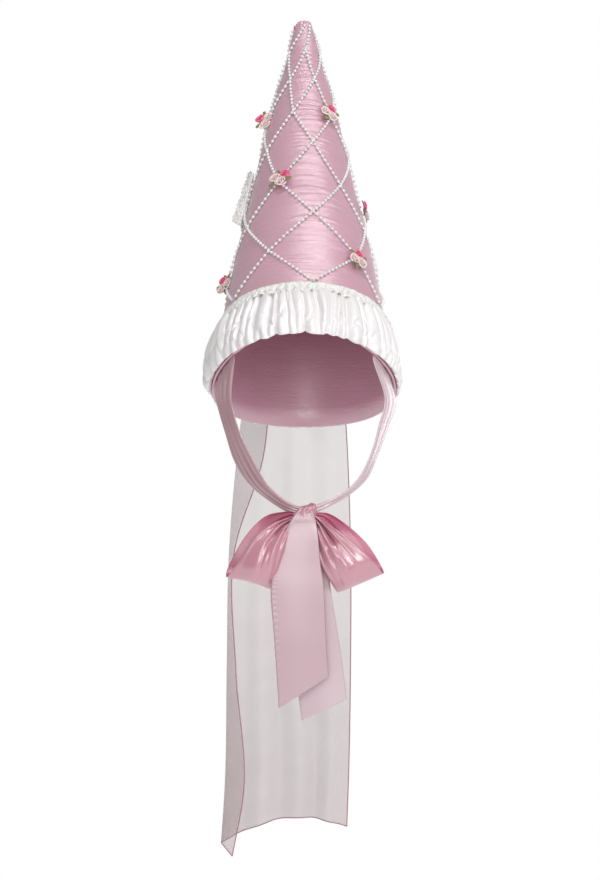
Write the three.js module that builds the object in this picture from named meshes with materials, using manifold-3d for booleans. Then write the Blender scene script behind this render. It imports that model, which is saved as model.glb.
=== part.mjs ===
// A satin cone hat (hennin) as it is worn: the cone leans back, a gathered band and a lace edging go round
// its rim, strings of beads cross on the cone, ribbon roses sit on the crossings, a sheer veil hangs from
// the tip, and a ribbon goes from each side of the rim to a bow under the chin.
// Millimetres, +Z up, the face towards -Y. The origin is the centre of the rim, where the head goes in.
import * as THREE from 'three';
import { mergeVertices } from 'three/addons/utils/BufferGeometryUtils.js';
import Module from 'manifold-3d';

const wasm = await Module();
wasm.setup();

// Driving sizes
const TILT = THREE.MathUtils.degToRad(29); // the cone's lean, back from upright
const GAP = 0.4; // between pieces that are sewn or tied together
const CONE_WALL = 2; // satin over a stiff backing
const SIDE_DIP = 12; // how far the rim drops over the ears
const NAPE = 0.06; // the rim's narrowing towards the nape, gone at NAPE_TOP
const NAPE_TOP = 97;
const RIBBON_WALL = 1.2;
const TIP_HEIGHT = 441;
const CONE_COLUMNS = 40;

// The cone's sections, up its own axis from the rim
const CONE = [
  { height: -16, halfWidth: 92.5, halfDepth: 102 },
  { height: 0, halfWidth: 91, halfDepth: 99 },
  { height: 34, halfWidth: 87, halfDepth: 91 },
  { height: 66, halfWidth: 82.8, halfDepth: 83.5 },
  { height: 97, halfWidth: 77.8, halfDepth: 77.8 },
  { height: 145, halfWidth: 69.8, halfDepth: 69.8 },
  { height: 217, halfWidth: 54.8, halfDepth: 54.8 },
  { height: 267, halfWidth: 45.2, halfDepth: 45.2 },
  { height: 329, halfWidth: 32.4, halfDepth: 32.4 },
  { height: 380, halfWidth: 20.4, halfDepth: 20.4 },
  { height: 425, halfWidth: 11.2, halfDepth: 11.2 },
  { height: 438, halfWidth: 7.2, halfDepth: 7.2 },
];

// The gathered satin band: its sections from the seam under the lace down to the hem
const RUFFLE = [
  { share: 0, stand: 2.6, fold: 0.9 },
  { share: 0.3, stand: 7.0, fold: 2.0 },
  { share: 0.82, stand: 7.6, fold: 2.4 },
  { share: 1, stand: 4.0, fold: 1.4 },
];
const RUFFLE_TOP = 51.6;
const RUFFLE_HEM = -1; // the hem's height at the front
const RUFFLE_DIP = 5; // how much lower it is at the sides
const RUFFLE_NAPE_RISE = 8; // and how much higher at the nape
const RUFFLE_WALL = 1.3;
const RUFFLE_FOLDS = 40;
const COLUMNS_A_FOLD = 3;

// The gathered lace edging above it
const LACE_EDGING = [
  { height: 52.1, stand: 4.6, wave: 1.1 },
  { height: 58, stand: 3.4, wave: 0.6 },
  { height: 65, stand: 1.6, wave: 0.4 },
];
const LACE_WALL = 1;
const LACE_WAVES = 30;

// Where the bead strings cross, up the cone: the height of each ring of crossings, and the turn of its six
// crossings in degrees, from the front (0) towards the wearer's left (90)
const CROSSINGS = [
  { height: 68, turns: [-57, 6, 66, 126, 186, 246] },
  { height: 113, turns: [-27, 43, 98, 157, 214, 272] },
  { height: 160, turns: [-57, 8, 64, 124, 186, 246] },
  { height: 206, turns: [-26, 39, 96, 156, 214, 273] },
  { height: 258, turns: [-51, 11, 72, 130, 190, 250] },
  { height: 302, turns: [-80, -16, 44, 104, 164, 222] },
  { height: 358, turns: [-90, -29, 22, 80, 138, 200] },
  { height: 394, turns: [-52, 6, 62, 120, 180, 240] },
  { height: 426, turns: [4, 30, 104, 150, 215, 275] },
];
const RISING_ONLY_FROM = 7; // above this ring only the strings that rise to the right go on
const STRING_RADIUS = 1.8;
const STRING_SIDES = 8;
const SIMPLER = 0.25; // the joined strings' small facets are merged within this
const STRING_STAND = 2.9; // the string's centreline above the cone

// Ribbon roses: the crossing that each cluster covers (its ring and its place in it), how far from there it is
// sewn (up the cone in mm, and round it in degrees), and how it is turned
const CLUSTERS = [
  { ring: 1, place: 1, up: -5, round: -1, spin: 35 },
  { ring: 1, place: 3, up: 0, round: 0, spin: 120 },
  { ring: 1, place: 5, up: -6, round: 6, spin: 75 },
  { ring: 3, place: 0, up: 0, round: 3, spin: 0 },
  { ring: 3, place: 2, up: -2, round: -5, spin: 100 },
  { ring: 3, place: 4, up: 0, round: 0, spin: 210 },
  { ring: 5, place: 0, up: 6, round: 8, spin: 60 },
  { ring: 5, place: 2, up: 0, round: -6, spin: 20 },
  { ring: 5, place: 4, up: 0, round: 0, spin: 300 },
];
const CLUSTER_STAND = STRING_STAND + STRING_RADIUS + GAP;
const ROSE_SIDES = 6;
const ROSE_PROFILE = [[0, 0], [3.4, 0], [4.4, 2.2], [3.2, 4.6], [0, 3.6]];
const LEAF_THICKNESS = 0.9;
const LEAF_HALF_WIDTH = 1.9;
const LEAVES = [
  { towards: -10, reach: 11 },
  { towards: 105, reach: 10.5 },
  { towards: 218, reach: 11.5 },
];
const ROSES = [
  { kind: 'pink', x: 4.6, y: 4.6 },
  { kind: 'pale', x: 1.5, y: -4.0 },
  { kind: 'pale', x: -5.6, y: 0.6 },
];

// The lace ribbon on the cone's side: it lies over the strings, and its front edge stands out
const LACE_RIBBON = { low: 178, high: 243, frontTurn: -88, backTurn: -121, stand: 5.6, lip: 4.2, wall: 1 };

// The ribbons from the rim to the knot: the strap's front edge and back edge, from the top down
const STRAP_TOP = 13; // sewn inside the cone up to this height
const STRAP_TURNS = { front: 50, back: 86 };
const RIGHT_STRAP = [
  { front: [-71, -50, -17.5], back: [-86.5, -8, -22] },
  { front: [-63, -54, -49], back: [-78.5, -14, -49] },
  { front: [-53, -60, -76.5], back: [-69.5, -22, -77] },
  { front: [-39, -67, -100], back: [-57, -34, -97] },
  { front: [-23.5, -72, -113.5], back: [-40, -48, -112] },
  { front: [-8, -75, -121], back: [-19, -64, -126] },
  { front: [3, -75, -122], back: [3, -68, -129] },
];
const LEFT_STRAP = [
  { front: [79, -50, -15.5], back: [91.5, -6, -22] },
  { front: [75, -54, -42], back: [85, -14, -45] },
  { front: [68, -60, -67], back: [75.5, -22, -69] },
  { front: [57, -66, -90.5], back: [67, -36, -92.5] },
  { front: [38, -71, -107], back: [47, -52, -106.5] },
  { front: [18, -74, -118], back: [22, -66, -122] },
  { front: [5, -75, -122], back: [5, -68, -129] },
];

// The bow: each loop's outer and inner edge, out along its front layer and home along its back layer
const RIGHT_LOOP = [
  { outer: [0, -76, -129], inner: [0, -77, -134] },
  { outer: [-17, -82, -134], inner: [-7, -82, -142] },
  { outer: [-33, -91, -140], inner: [-13, -88, -153] },
  { outer: [-50, -94, -153], inner: [-17, -90, -171] },
  { outer: [-64, -89, -176], inner: [-21, -86, -190] },
  { outer: [-74, -78, -189], inner: [-24, -78, -202] },
  { outer: [-74, -68, -180], inner: [-23, -72, -192] },
  { outer: [-58, -60, -152], inner: [-18, -66, -171] },
  { outer: [-38, -60, -132], inner: [-12, -66, -151] },
  { outer: [-17, -70, -127], inner: [-8, -72, -138] },
  { outer: [0, -73, -128], inner: [0, -73, -134] },
];
const LEFT_LOOP = [
  { outer: [8, -76, -129], inner: [8, -77, -134] },
  { outer: [20, -82, -137], inner: [15, -82, -144] },
  { outer: [34, -91, -146], inner: [17, -88, -160] },
  { outer: [51, -94, -158.5], inner: [19, -90, -177] },
  { outer: [66, -89, -173], inner: [26, -86, -193] },
  { outer: [77.5, -78, -188], inner: [32.5, -78, -205.5] },
  { outer: [75, -68, -179], inner: [30, -72, -196] },
  { outer: [62, -60, -159], inner: [24, -66, -178] },
  { outer: [44, -60, -142], inner: [18, -66, -158] },
  { outer: [25, -69, -129.5], inner: [14, -72, -141] },
  { outer: [8, -73, -128], inner: [8, -73, -134] },
];
const KNOT = { x: 4, y: -74, z: -128, halfWidth: 12, halfDepth: 9, halfHeight: 11 };

// The tails, from the knot down: their left and right edges
const FRONT_TAIL = [
  { left: [-9, -84, -131], right: [12, -84, -132] },
  { left: [-20.5, -97, -151], right: [15, -97, -151] },
  { left: [-31, -101, -176], right: [17, -101, -176] },
  { left: [-32.5, -99, -204], right: [19.5, -99, -204] },
  { left: [-29, -94, -252], right: [21.5, -93, -252] },
  { left: [-24.7, -90, -318], right: [24, -89, -287] },
];
const BACK_TAIL = [
  { left: [-4, -75, -134], right: [11, -75, -134] },
  { left: [-14, -77, -156], right: [13, -77, -156] },
  { left: [-22, -78, -182], right: [23, -79, -182] },
  { left: [-20, -78, -210], right: [27, -80, -210] },
  { left: [-13, -77, -256], right: [34.5, -80, -256] },
  { left: [-2, -76, -331.5], right: [42, -80, -310] },
];

// The veil below the tip, in the wearer's frame: its left and right fold, and the flap turned to the front
const VEIL = [
  { z: 362, left: -15, right: 13, flap: 3, fold: 1 },
  { z: 230, left: -31, right: 25, flap: 8, fold: 4 },
  { z: 60, left: -54, right: 38, flap: 18, fold: 8 },
  { z: -77, left: -71.5, right: 47, flap: 28, fold: 11 },
  { z: -174, left: -79.5, right: 50, flap: 6, fold: 13 },
  { z: -300, left: -82, right: 50, flap: 10, fold: 14 },
  { z: -423, left: -84, right: 48, flap: 20, fold: 15 },
  { z: -485, left: -88, right: 46, flap: 12, fold: 15 },
];
const VEIL_WALL = 1;
const VEIL_DEPTH = 223; // how far behind the rim's centre it hangs
const VEIL_WRAP = { height: 435, from: -72, to: -236, stand: 1.6 };
const VEIL_FLAP_COLUMNS = 3;
const VEIL_COLUMNS = 15;
const VEIL_FOLDS = 3.5;
const VEIL_HEM_RISE = 26; // how much the hem rises from the fold to its middle
const VEIL_CORNER_DROP = 14; // how far the flap's corner hangs below the fold

const COLOURS = {
  satin: { color: 0xd79cb6, roughness: 0.42, metalness: 0 },
  ribbon: { color: 0xdc9fb8, roughness: 0.35, metalness: 0 },
  whiteSatin: { color: 0xf4f1f1, roughness: 0.35, metalness: 0 },
  lace: { color: 0xefeee8, roughness: 0.8, metalness: 0 },
  beads: { color: 0xeef2ea, roughness: 0.25, metalness: 0 },
  paleRose: { color: 0xf3dcd8, roughness: 0.5, metalness: 0 },
  pinkRose: { color: 0xe8557f, roughness: 0.45, metalness: 0 },
  leaf: { color: 0x8a9440, roughness: 0.5, metalness: 0 },
  veil: { color: 0xe6cdd3, roughness: 0.7, metalness: 0 },
};

const radians = THREE.MathUtils.degToRad;
const point = (p) => (Array.isArray(p) ? new THREE.Vector3(...p) : p.clone());

// The value of one column of a table at a place along another, smoothly between the rows
function along(table, by, column, at) {
  const rising = table[table.length - 1][by] > table[0][by];
  const rows = rising ? table : [...table].reverse();
  const last = rows.length - 1;
  const x = THREE.MathUtils.clamp(at, rows[0][by], rows[last][by]);
  let i = 0;
  while (i < last - 1 && x > rows[i + 1][by]) i += 1;
  const slope = (k) => {
    const a = rows[Math.max(k - 1, 0)];
    const b = rows[Math.min(k + 1, last)];
    return (b[column] - a[column]) / (b[by] - a[by]);
  };
  const span = rows[i + 1][by] - rows[i][by];
  const t = (x - rows[i][by]) / span;
  const from = rows[i][column];
  const to = rows[i + 1][column];
  return (
    from * (1 + 2 * t) * (1 - t) ** 2 +
    slope(i) * span * t * (1 - t) ** 2 +
    to * t * t * (3 - 2 * t) +
    slope(i + 1) * span * t * t * (t - 1)
  );
}

// A point on the cone or above it, in the cone's own frame
function onCone(height, turn, stand = 0) {
  const wide = along(CONE, 'height', 'halfWidth', height) + stand;
  const deep = along(CONE, 'height', 'halfDepth', height) + stand;
  const nape = NAPE * Math.max(-Math.cos(turn), 0) * THREE.MathUtils.clamp(1 - height / NAPE_TOP, 0, 1);
  return new THREE.Vector3(wide * (1 - nape) * Math.sin(turn), -deep * Math.cos(turn), height);
}

// The same point in the wearer's frame
function worn(p) {
  return p.clone().applyAxisAngle(new THREE.Vector3(1, 0, 0), -TILT);
}

const sideDrop = (turn, dip) => -dip * Math.sin(turn) ** 2;
const ringTurns = (columns) => Array.from({ length: columns }, (_, j) => (2 * Math.PI * j) / columns);

function closedGeometry(points, faces) {
  const position = new Float32Array(points.flatMap((p) => [p.x, p.y, p.z]));
  let volume = 0;
  for (const [a, b, c] of faces) volume += points[a].dot(points[b].clone().cross(points[c]));
  const index = volume < 0 ? faces.map(([a, b, c]) => [a, c, b]) : faces;
  const geometry = new THREE.BufferGeometry();
  geometry.setAttribute('position', new THREE.BufferAttribute(position, 3));
  geometry.setIndex(index.flat());
  return geometry;
}

// One closed skin round a wall, from the rows of points of its outer and inner face. A ring's rows close on
// themselves. With peaks, the last rows close on a point instead of meeting each other.
function wallGeometry(outer, inner, { ring = false, outerPeak, innerPeak } = {}) {
  const columns = outer[0].length;
  const points = [...outer.flat(), ...inner.flat()];
  const faces = [];
  const out = (i, j) => i * columns + (j % columns);
  const inn = (i, j) => outer.length * columns + i * columns + (j % columns);
  const quad = (a, b, c, d) => faces.push([a, b, c], [a, c, d]);
  const steps = ring ? columns : columns - 1;
  const top = outer.length - 1;
  const innerTop = inner.length - 1;
  for (let j = 0; j < steps; j += 1) {
    for (let i = 0; i < top; i += 1) quad(out(i, j), out(i, j + 1), out(i + 1, j + 1), out(i + 1, j));
    for (let i = 0; i < innerTop; i += 1) quad(inn(i, j + 1), inn(i, j), inn(i + 1, j), inn(i + 1, j + 1));
    quad(out(0, j), inn(0, j), inn(0, j + 1), out(0, j + 1));
    if (!outerPeak) quad(out(top, j), out(top, j + 1), inn(innerTop, j + 1), inn(innerTop, j));
  }
  if (outerPeak) {
    points.push(outerPeak, innerPeak);
    for (let j = 0; j < columns; j += 1) {
      faces.push([out(top, j), out(top, j + 1), points.length - 2]);
      faces.push([inn(innerTop, j + 1), inn(innerTop, j), points.length - 1]);
    }
  }
  if (!ring) {
    for (let i = 0; i < top; i += 1) {
      quad(out(i, 0), out(i + 1, 0), inn(i + 1, 0), inn(i, 0));
      quad(out(i, steps), inn(i, steps), inn(i + 1, steps), out(i + 1, steps));
    }
  }
  return closedGeometry(points, faces);
}

// A sheet of cloth with a thickness, from the rows of points of its middle surface
function sheetGeometry(rows, thickness) {
  const face = (side) =>
    rows.map((row, i) =>
      row.map((p, j) => {
        const down = rows[Math.min(i + 1, rows.length - 1)][j].clone().sub(rows[Math.max(i - 1, 0)][j]);
        const across = row[Math.min(j + 1, row.length - 1)].clone().sub(row[Math.max(j - 1, 0)]);
        return p.clone().addScaledVector(across.cross(down).normalize(), (side * thickness) / 2);
      }),
    );
  return wallGeometry(face(1), face(-1));
}

// Rows of points between two edges of a ribbon, smoothed along it, with a soft swell across it
function ribbonRows(edges, first, second, { steps, columns, swell = 0, pleats = 0, depth = 0 }) {
  const one = new THREE.CatmullRomCurve3(edges.map((e) => point(e[first])), false, 'centripetal');
  const two = new THREE.CatmullRomCurve3(edges.map((e) => point(e[second])), false, 'centripetal');
  return Array.from({ length: steps + 1 }, (_, i) => {
    const t = i / steps;
    const a = one.getPoint(t);
    const b = two.getPoint(t);
    const along_ = one.getTangent(t).add(two.getTangent(t));
    const lift = b.clone().sub(a).cross(along_).normalize();
    return Array.from({ length: columns }, (__, j) => {
      const u = j / (columns - 1);
      const rise = swell * Math.sin(Math.PI * u) + depth * Math.sin(Math.PI * t) * Math.sin(2 * Math.PI * pleats * u);
      return a.clone().lerp(b, u).addScaledVector(lift, rise);
    });
  });
}

function solidOf(geometry) {
  const bare = geometry.clone();
  bare.deleteAttribute('normal');
  bare.deleteAttribute('uv');
  const merged = mergeVertices(bare, 1e-3);
  const mesh = new wasm.Mesh({
    numProp: 3,
    vertProperties: new Float32Array(merged.attributes.position.array),
    triVerts: new Uint32Array(merged.index.array),
  });
  return new wasm.Manifold(mesh);
}

function geometryOf(solid) {
  const mesh = solid.getMesh();
  const geometry = new THREE.BufferGeometry();
  geometry.setAttribute('position', new THREE.BufferAttribute(new Float32Array(mesh.vertProperties), 3));
  geometry.setIndex(new THREE.BufferAttribute(new Uint32Array(mesh.triVerts), 1));
  return geometry;
}

const joined = (geometries, slack = 0) =>
  geometryOf(geometries.map(solidOf).reduce((a, b) => a.add(b)).asOriginal().simplify(slack));
const cut = (geometry, cutter) => geometryOf(solidOf(geometry).subtract(solidOf(cutter)));

function named(name, geometry, look) {
  const mesh = new THREE.Mesh(geometry, new THREE.MeshStandardMaterial(COLOURS[look]));
  mesh.name = name;
  return mesh;
}

// The stiff cone, hollow, with an oval rim that dips over the ears
function cone() {
  const turns = ringTurns(CONE_COLUMNS);
  const heights = [34, 66, 97, 145, 217, 267, 329, 380, 425, 438];
  const innerHeights = [66, 145, 267, 380, 432];
  const rim = (stand) => turns.map((turn) => onCone(sideDrop(turn, SIDE_DIP), turn, stand));
  const outer = [rim(0), ...heights.map((h) => turns.map((turn) => onCone(h, turn)))];
  const inner = [rim(-CONE_WALL), ...innerHeights.map((h) => turns.map((turn) => onCone(h, turn, -CONE_WALL)))];
  return wallGeometry(outer, inner, {
    ring: true,
    outerPeak: new THREE.Vector3(0, 0, TIP_HEIGHT),
    innerPeak: new THREE.Vector3(0, 0, TIP_HEIGHT - 2 * CONE_WALL),
  });
}

// How far a fold of the gathered band stands in or out: uneven in width and depth, as gathers are
function gather(turn) {
  const drift = 0.55 * Math.sin(3 * turn + 0.6) + 0.4 * Math.sin(7 * turn + 2.1);
  const swing = Math.sin(RUFFLE_FOLDS * turn + drift);
  return swing * (0.78 + 0.22 * Math.sin(5 * turn + 1.3));
}

function ruffle() {
  const turns = ringTurns(RUFFLE_FOLDS * COLUMNS_A_FOLD);
  const face = (inward) =>
    RUFFLE.map((row) =>
      turns.map((turn) => {
        const nape = RUFFLE_NAPE_RISE * Math.max(-Math.cos(turn), 0);
        const hem = RUFFLE_HEM + sideDrop(turn, RUFFLE_DIP) + nape + (row.share > 0.9 ? 1.2 * gather(turn + 0.05) : 0);
        const height = THREE.MathUtils.lerp(RUFFLE_TOP, hem, row.share);
        return onCone(height, turn, row.stand + row.fold * gather(turn) - inward);
      }),
    ).reverse();
  return wallGeometry(face(0), face(RUFFLE_WALL), { ring: true });
}

function laceEdging() {
  const turns = ringTurns(LACE_WAVES * 2);
  const face = (inward) =>
    LACE_EDGING.map((row) =>
      turns.map((turn, j) => onCone(row.height, turn, row.stand + (j % 2 ? row.wave : -row.wave) - inward)),
    );
  return wallGeometry(face(0), face(LACE_WALL), { ring: true });
}

// A path that an extrusion follows station by station
class Route extends THREE.Curve {
  constructor(stations) {
    super();
    this.stations = stations;
  }

  getPoint(t) {
    const place = t * (this.stations.length - 1);
    const i = Math.min(Math.floor(place), this.stations.length - 2);
    return this.stations[i].clone().lerp(this.stations[i + 1], place - i);
  }

  getPointAt(t) {
    return this.getPoint(t);
  }

  getTangentAt(t) {
    const half = 0.5 / (this.stations.length - 1);
    return this.getPoint(Math.min(t + half, 1)).sub(this.getPoint(Math.max(t - half, 0))).normalize();
  }
}

function tube(stations) {
  const section = new THREE.Shape();
  section.absarc(0, 0, STRING_RADIUS, 0, 2 * Math.PI);
  return new THREE.ExtrudeGeometry(section, {
    steps: stations.length - 1,
    curveSegments: STRING_SIDES / 2,
    extrudePath: new Route(stations),
    bevelEnabled: false,
  });
}

const sixth = (n) => ((n % 6) + 6) % 6;

// The place in the next ring of the crossing that a string goes on to, and how far round that is
function nextCrossing(ring, place, rising) {
  const here = CROSSINGS[ring].turns[place];
  const steps = CROSSINGS[ring + 1].turns.map((turn, next) => {
    const step = ((((turn - here) % 360) + 540) % 360) - 180;
    return { next, step };
  });
  const wanted = steps.filter((s) => (rising ? s.step > 0 : s.step < 0));
  return wanted.reduce((a, b) => (Math.abs(a.step) < Math.abs(b.step) ? a : b));
}

// A bead string's stations: every crossing, and half way between them
function stringStations(start, rising) {
  const stations = [];
  const rings = rising ? CROSSINGS.length : RISING_ONLY_FROM + 1;
  let place = start;
  let turn = CROSSINGS[0].turns[sixth(start)];
  for (let ring = 0; ring < rings - 1; ring += 1) {
    const { next, step } = nextCrossing(ring, place, rising);
    const [low, high] = [CROSSINGS[ring].height, CROSSINGS[ring + 1].height];
    stations.push(onCone(low, radians(turn), STRING_STAND));
    stations.push(onCone((low + high) / 2, radians(turn + step / 2), STRING_STAND));
    place = next;
    turn += step;
    if (ring === rings - 2) stations.push(onCone(high, radians(turn), STRING_STAND));
  }
  return stations;
}

function beadStrings() {
  const starts = [0, 1, 2, 3, 4, 5];
  const strings = [true, false].flatMap((rising) => starts.map((start) => tube(stringStations(start, rising))));
  return joined(strings, SIMPLER);
}

// A ribbon rolled into a rose, as a faceted bud
function rose({ x, y }) {
  const profile = ROSE_PROFILE.map(([r, z]) => new THREE.Vector2(r, z));
  return new THREE.LatheGeometry(profile, ROSE_SIDES)
    .rotateX(Math.PI / 2)
    .translate(x, y, LEAF_THICKNESS + GAP);
}

function leaves() {
  const star = new THREE.Shape();
  LEAVES.forEach(({ towards, reach }, k) => {
    const way = new THREE.Vector2(1, 0).rotateAround(new THREE.Vector2(), radians(towards));
    const side = new THREE.Vector2(-way.y, way.x).multiplyScalar(LEAF_HALF_WIDTH);
    const [right, left] = [-1, 1].map((s) => way.clone().multiplyScalar(reach).addScaledVector(side, s));
    const next = LEAVES[(k + 1) % LEAVES.length];
    const turn = (((next.towards - towards) % 360) + 360) % 360;
    const between = radians(towards + turn / 2);
    const root = LEAF_HALF_WIDTH / Math.sin(radians(turn / 2));
    if (k === 0) star.moveTo(right.x, right.y);
    else star.lineTo(right.x, right.y);
    star.lineTo(left.x, left.y);
    star.lineTo(root * Math.cos(between), root * Math.sin(between));
  });
  return new THREE.ExtrudeGeometry(star, { depth: LEAF_THICKNESS, bevelEnabled: false });
}

function roseCluster({ ring, place, up: rise, round, spin }, number) {
  const height = CROSSINGS[ring].height + rise;
  const turn = radians(CROSSINGS[ring].turns[place] + round);
  const seat = onCone(height, turn, CLUSTER_STAND);
  const up = onCone(height + 5, turn, CLUSTER_STAND).sub(seat).normalize();
  const aside = new THREE.Vector3(Math.cos(turn), Math.sin(turn), 0);
  const out = aside.clone().cross(up).normalize();
  const group = new THREE.Group();
  group.position.copy(seat);
  group.quaternion.setFromRotationMatrix(new THREE.Matrix4().makeBasis(aside, out.clone().cross(aside), out));
  group.rotateZ(radians(spin));
  const roses = (kind) => ROSES.filter((r) => r.kind === kind).map(rose);
  group.add(
    named(`pale_roses_${number}`, joined(roses('pale')), 'paleRose'),
    named(`pink_rose_${number}`, joined(roses('pink')), 'pinkRose'),
    named(`leaves_${number}`, leaves(), 'leaf'),
  );
  return group;
}

function laceRibbon() {
  const { low, high, frontTurn, backTurn, stand, lip, wall } = LACE_RIBBON;
  const across = [
    { turn: backTurn, out: 0 },
    { turn: (frontTurn + backTurn) / 2, out: 0 },
    { turn: frontTurn - 2, out: 0 },
    { turn: frontTurn, out: 1 },
    { turn: frontTurn + 1, out: lip },
  ];
  const heights = [low, (low + high) / 2, high];
  const rows = heights.map((h) => across.map(({ turn, out }) => onCone(h, radians(turn), stand + out + wall / 2)));
  return sheetGeometry(rows, wall);
}

// A strap: sewn inside the rim, then the table's edges down to the knot
function strap(edges, side) {
  const inside = -(CONE_WALL + GAP + RIBBON_WALL / 2 + 0.2);
  const atRim = (height) => {
    const edge = (turn) => worn(onCone(height, side * radians(turn), inside));
    return { front: edge(STRAP_TURNS.front), back: edge(STRAP_TURNS.back) };
  };
  const rim = -SIDE_DIP - 2;
  const rows = ribbonRows([atRim(STRAP_TOP), atRim((STRAP_TOP + rim) / 2), atRim(rim), ...edges], 'front', 'back', {
    steps: 14,
    columns: 5,
    swell: side * 4,
  });
  return cut(sheetGeometry(rows, RIBBON_WALL), knot(GAP));
}

function knot(grown = 0) {
  const { x, y, z, halfWidth, halfDepth, halfHeight } = KNOT;
  const turns = ringTurns(10);
  const waist = [
    { height: -1, share: 0.8 },
    { height: -0.4, share: 1 },
    { height: 0.4, share: 0.86 },
    { height: 1, share: 0.6 },
  ];
  const rows = waist.map(({ height, share }) =>
    turns.map(
      (turn) =>
        new THREE.Vector3(
          x + (halfWidth * share + grown) * Math.sin(turn),
          y - (halfDepth * share + grown) * Math.cos(turn),
          z + (halfHeight + grown) * height,
        ),
    ),
  );
  const points = rows.flat();
  const faces = [];
  const at = (i, j) => i * turns.length + (j % turns.length);
  for (let j = 0; j < turns.length; j += 1) {
    for (let i = 0; i < waist.length - 1; i += 1) {
      faces.push([at(i, j), at(i, j + 1), at(i + 1, j + 1)], [at(i, j), at(i + 1, j + 1), at(i + 1, j)]);
    }
    if (j > 0 && j < turns.length - 1) {
      faces.push([at(0, 0), at(0, j + 1), at(0, j)], [at(3, 0), at(3, j), at(3, j + 1)]);
    }
  }
  return closedGeometry(points, faces);
}

function loop(edges, side) {
  const rows = ribbonRows(edges, 'outer', 'inner', { steps: 16, columns: 4, swell: side * 3 });
  return cut(sheetGeometry(rows, RIBBON_WALL), knot(GAP));
}

function tail(edges) {
  const rows = ribbonRows(edges, 'left', 'right', { steps: 7, columns: 4, swell: 2 });
  return cut(sheetGeometry(rows, RIBBON_WALL), knot(GAP));
}

// The veil: gathered round the back of the tip, then hanging free, its left edge turned to the front
function veil() {
  const lastZ = VEIL[VEIL.length - 1].z;
  const firstZ = VEIL[0].z;
  const heights = [376, firstZ, 310, 230, 145, 60, -8, -77, -126, -174, -300, -423, lastZ];
  const row = (z) => {
    const at = (column) => along(VEIL, 'z', column, z);
        return Array.from({ length: VEIL_COLUMNS }, (_, j) => {
      const onFlap = j < VEIL_FLAP_COLUMNS;
      const u = onFlap ? 1 - j / VEIL_FLAP_COLUMNS : (j - VEIL_FLAP_COLUMNS) / (VEIL_COLUMNS - 1 - VEIL_FLAP_COLUMNS);
      const share = j / (VEIL_COLUMNS - 1);
      const x = onFlap ? at('left') + at('flap') * u : THREE.MathUtils.lerp(at('left'), at('right'), u);
      const wave = onFlap ? -2 - 4 * u : at('fold') * Math.sin(Math.PI * VEIL_FOLDS * u) ** 2;
      const hem = onFlap ? -VEIL_CORNER_DROP * u : VEIL_HEM_RISE * Math.sin(Math.PI * u * 0.8);
      const drop = z === lastZ ? hem : 0;
      const hanging = new THREE.Vector3(x, VEIL_DEPTH + wave, z + drop);
      const turn = radians(THREE.MathUtils.lerp(VEIL_WRAP.from, VEIL_WRAP.to, share));
      const wrapped = worn(onCone(VEIL_WRAP.height, turn, VEIL_WRAP.stand));
      return z === heights[0] ? wrapped : hanging;
    });
  };
  return sheetGeometry(heights.map(row), VEIL_WALL);
}

const hat = new THREE.Group();
hat.rotation.x = -TILT;
hat.add(
  named('cone', cone(), 'satin'),
  named('bead_strings', beadStrings(), 'beads'),
  named('ruffle', ruffle(), 'whiteSatin'),
  named('lace_edging', laceEdging(), 'lace'),
  named('lace_ribbon', laceRibbon(), 'lace'),
  ...CLUSTERS.map((cluster, k) => roseCluster(cluster, k + 1)),
);

const hennin = new THREE.Group();
hennin.add(
  hat,
  named('right_strap', strap(RIGHT_STRAP, -1), 'ribbon'),
  named('left_strap', strap(LEFT_STRAP, 1), 'ribbon'),
  named('knot', knot(), 'ribbon'),
  named('right_bow_loop', loop(RIGHT_LOOP, -1), 'ribbon'),
  named('left_bow_loop', loop(LEFT_LOOP, 1), 'ribbon'),
  named('front_tail', tail(FRONT_TAIL), 'ribbon'),
  named('back_tail', tail(BACK_TAIL), 'ribbon'),
  named('veil', veil(), 'veil'),
);

export default hennin;
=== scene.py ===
# A pink satin cone hat as it is worn: beaded, veiled, ruffled at the rim and tied under the chin.
# Sizes are in millimetres until a mesh is made, and in metres after that. The face looks towards -Y.
import math

import bpy
import numpy as np
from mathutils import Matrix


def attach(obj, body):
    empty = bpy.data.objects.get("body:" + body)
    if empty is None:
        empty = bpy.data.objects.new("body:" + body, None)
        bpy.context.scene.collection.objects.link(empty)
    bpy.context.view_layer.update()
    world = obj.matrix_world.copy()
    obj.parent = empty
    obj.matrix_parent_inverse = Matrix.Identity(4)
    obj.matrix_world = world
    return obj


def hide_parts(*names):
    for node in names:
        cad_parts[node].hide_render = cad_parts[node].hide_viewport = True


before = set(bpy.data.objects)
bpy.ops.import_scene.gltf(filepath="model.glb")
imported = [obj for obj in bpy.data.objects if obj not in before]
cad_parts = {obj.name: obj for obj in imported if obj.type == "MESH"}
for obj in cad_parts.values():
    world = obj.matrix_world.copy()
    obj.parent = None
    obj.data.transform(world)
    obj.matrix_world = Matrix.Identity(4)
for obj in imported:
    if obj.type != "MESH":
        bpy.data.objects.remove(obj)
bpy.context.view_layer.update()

MM = 0.001
BODY = "root"
TILT = math.radians(29)  # the cone's lean back from upright

# The cone's sections, up its own axis from the rim
CONE = [  # height, half width, half depth
    (-16, 92.5, 102), (0, 91, 99), (34, 87, 91), (66, 82.8, 83.5), (97, 77.8, 77.8), (145, 69.8, 69.8),
    (217, 54.8, 54.8), (267, 45.2, 45.2), (329, 32.4, 32.4), (380, 20.4, 20.4), (425, 11.2, 11.2),
    (438, 8, 8),
]
CONE_TOP, INNER_TOP = 438, 432  # where the rounded tip starts, outside and inside
TIP_HEIGHT = 439.5
CONE_WALL = 2
SIDE_DIP = 12  # how much lower the rim is at the sides
NAPE, NAPE_TOP = 0.06, 97  # the share by which the nape is narrower, and the height where that ends

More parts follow.
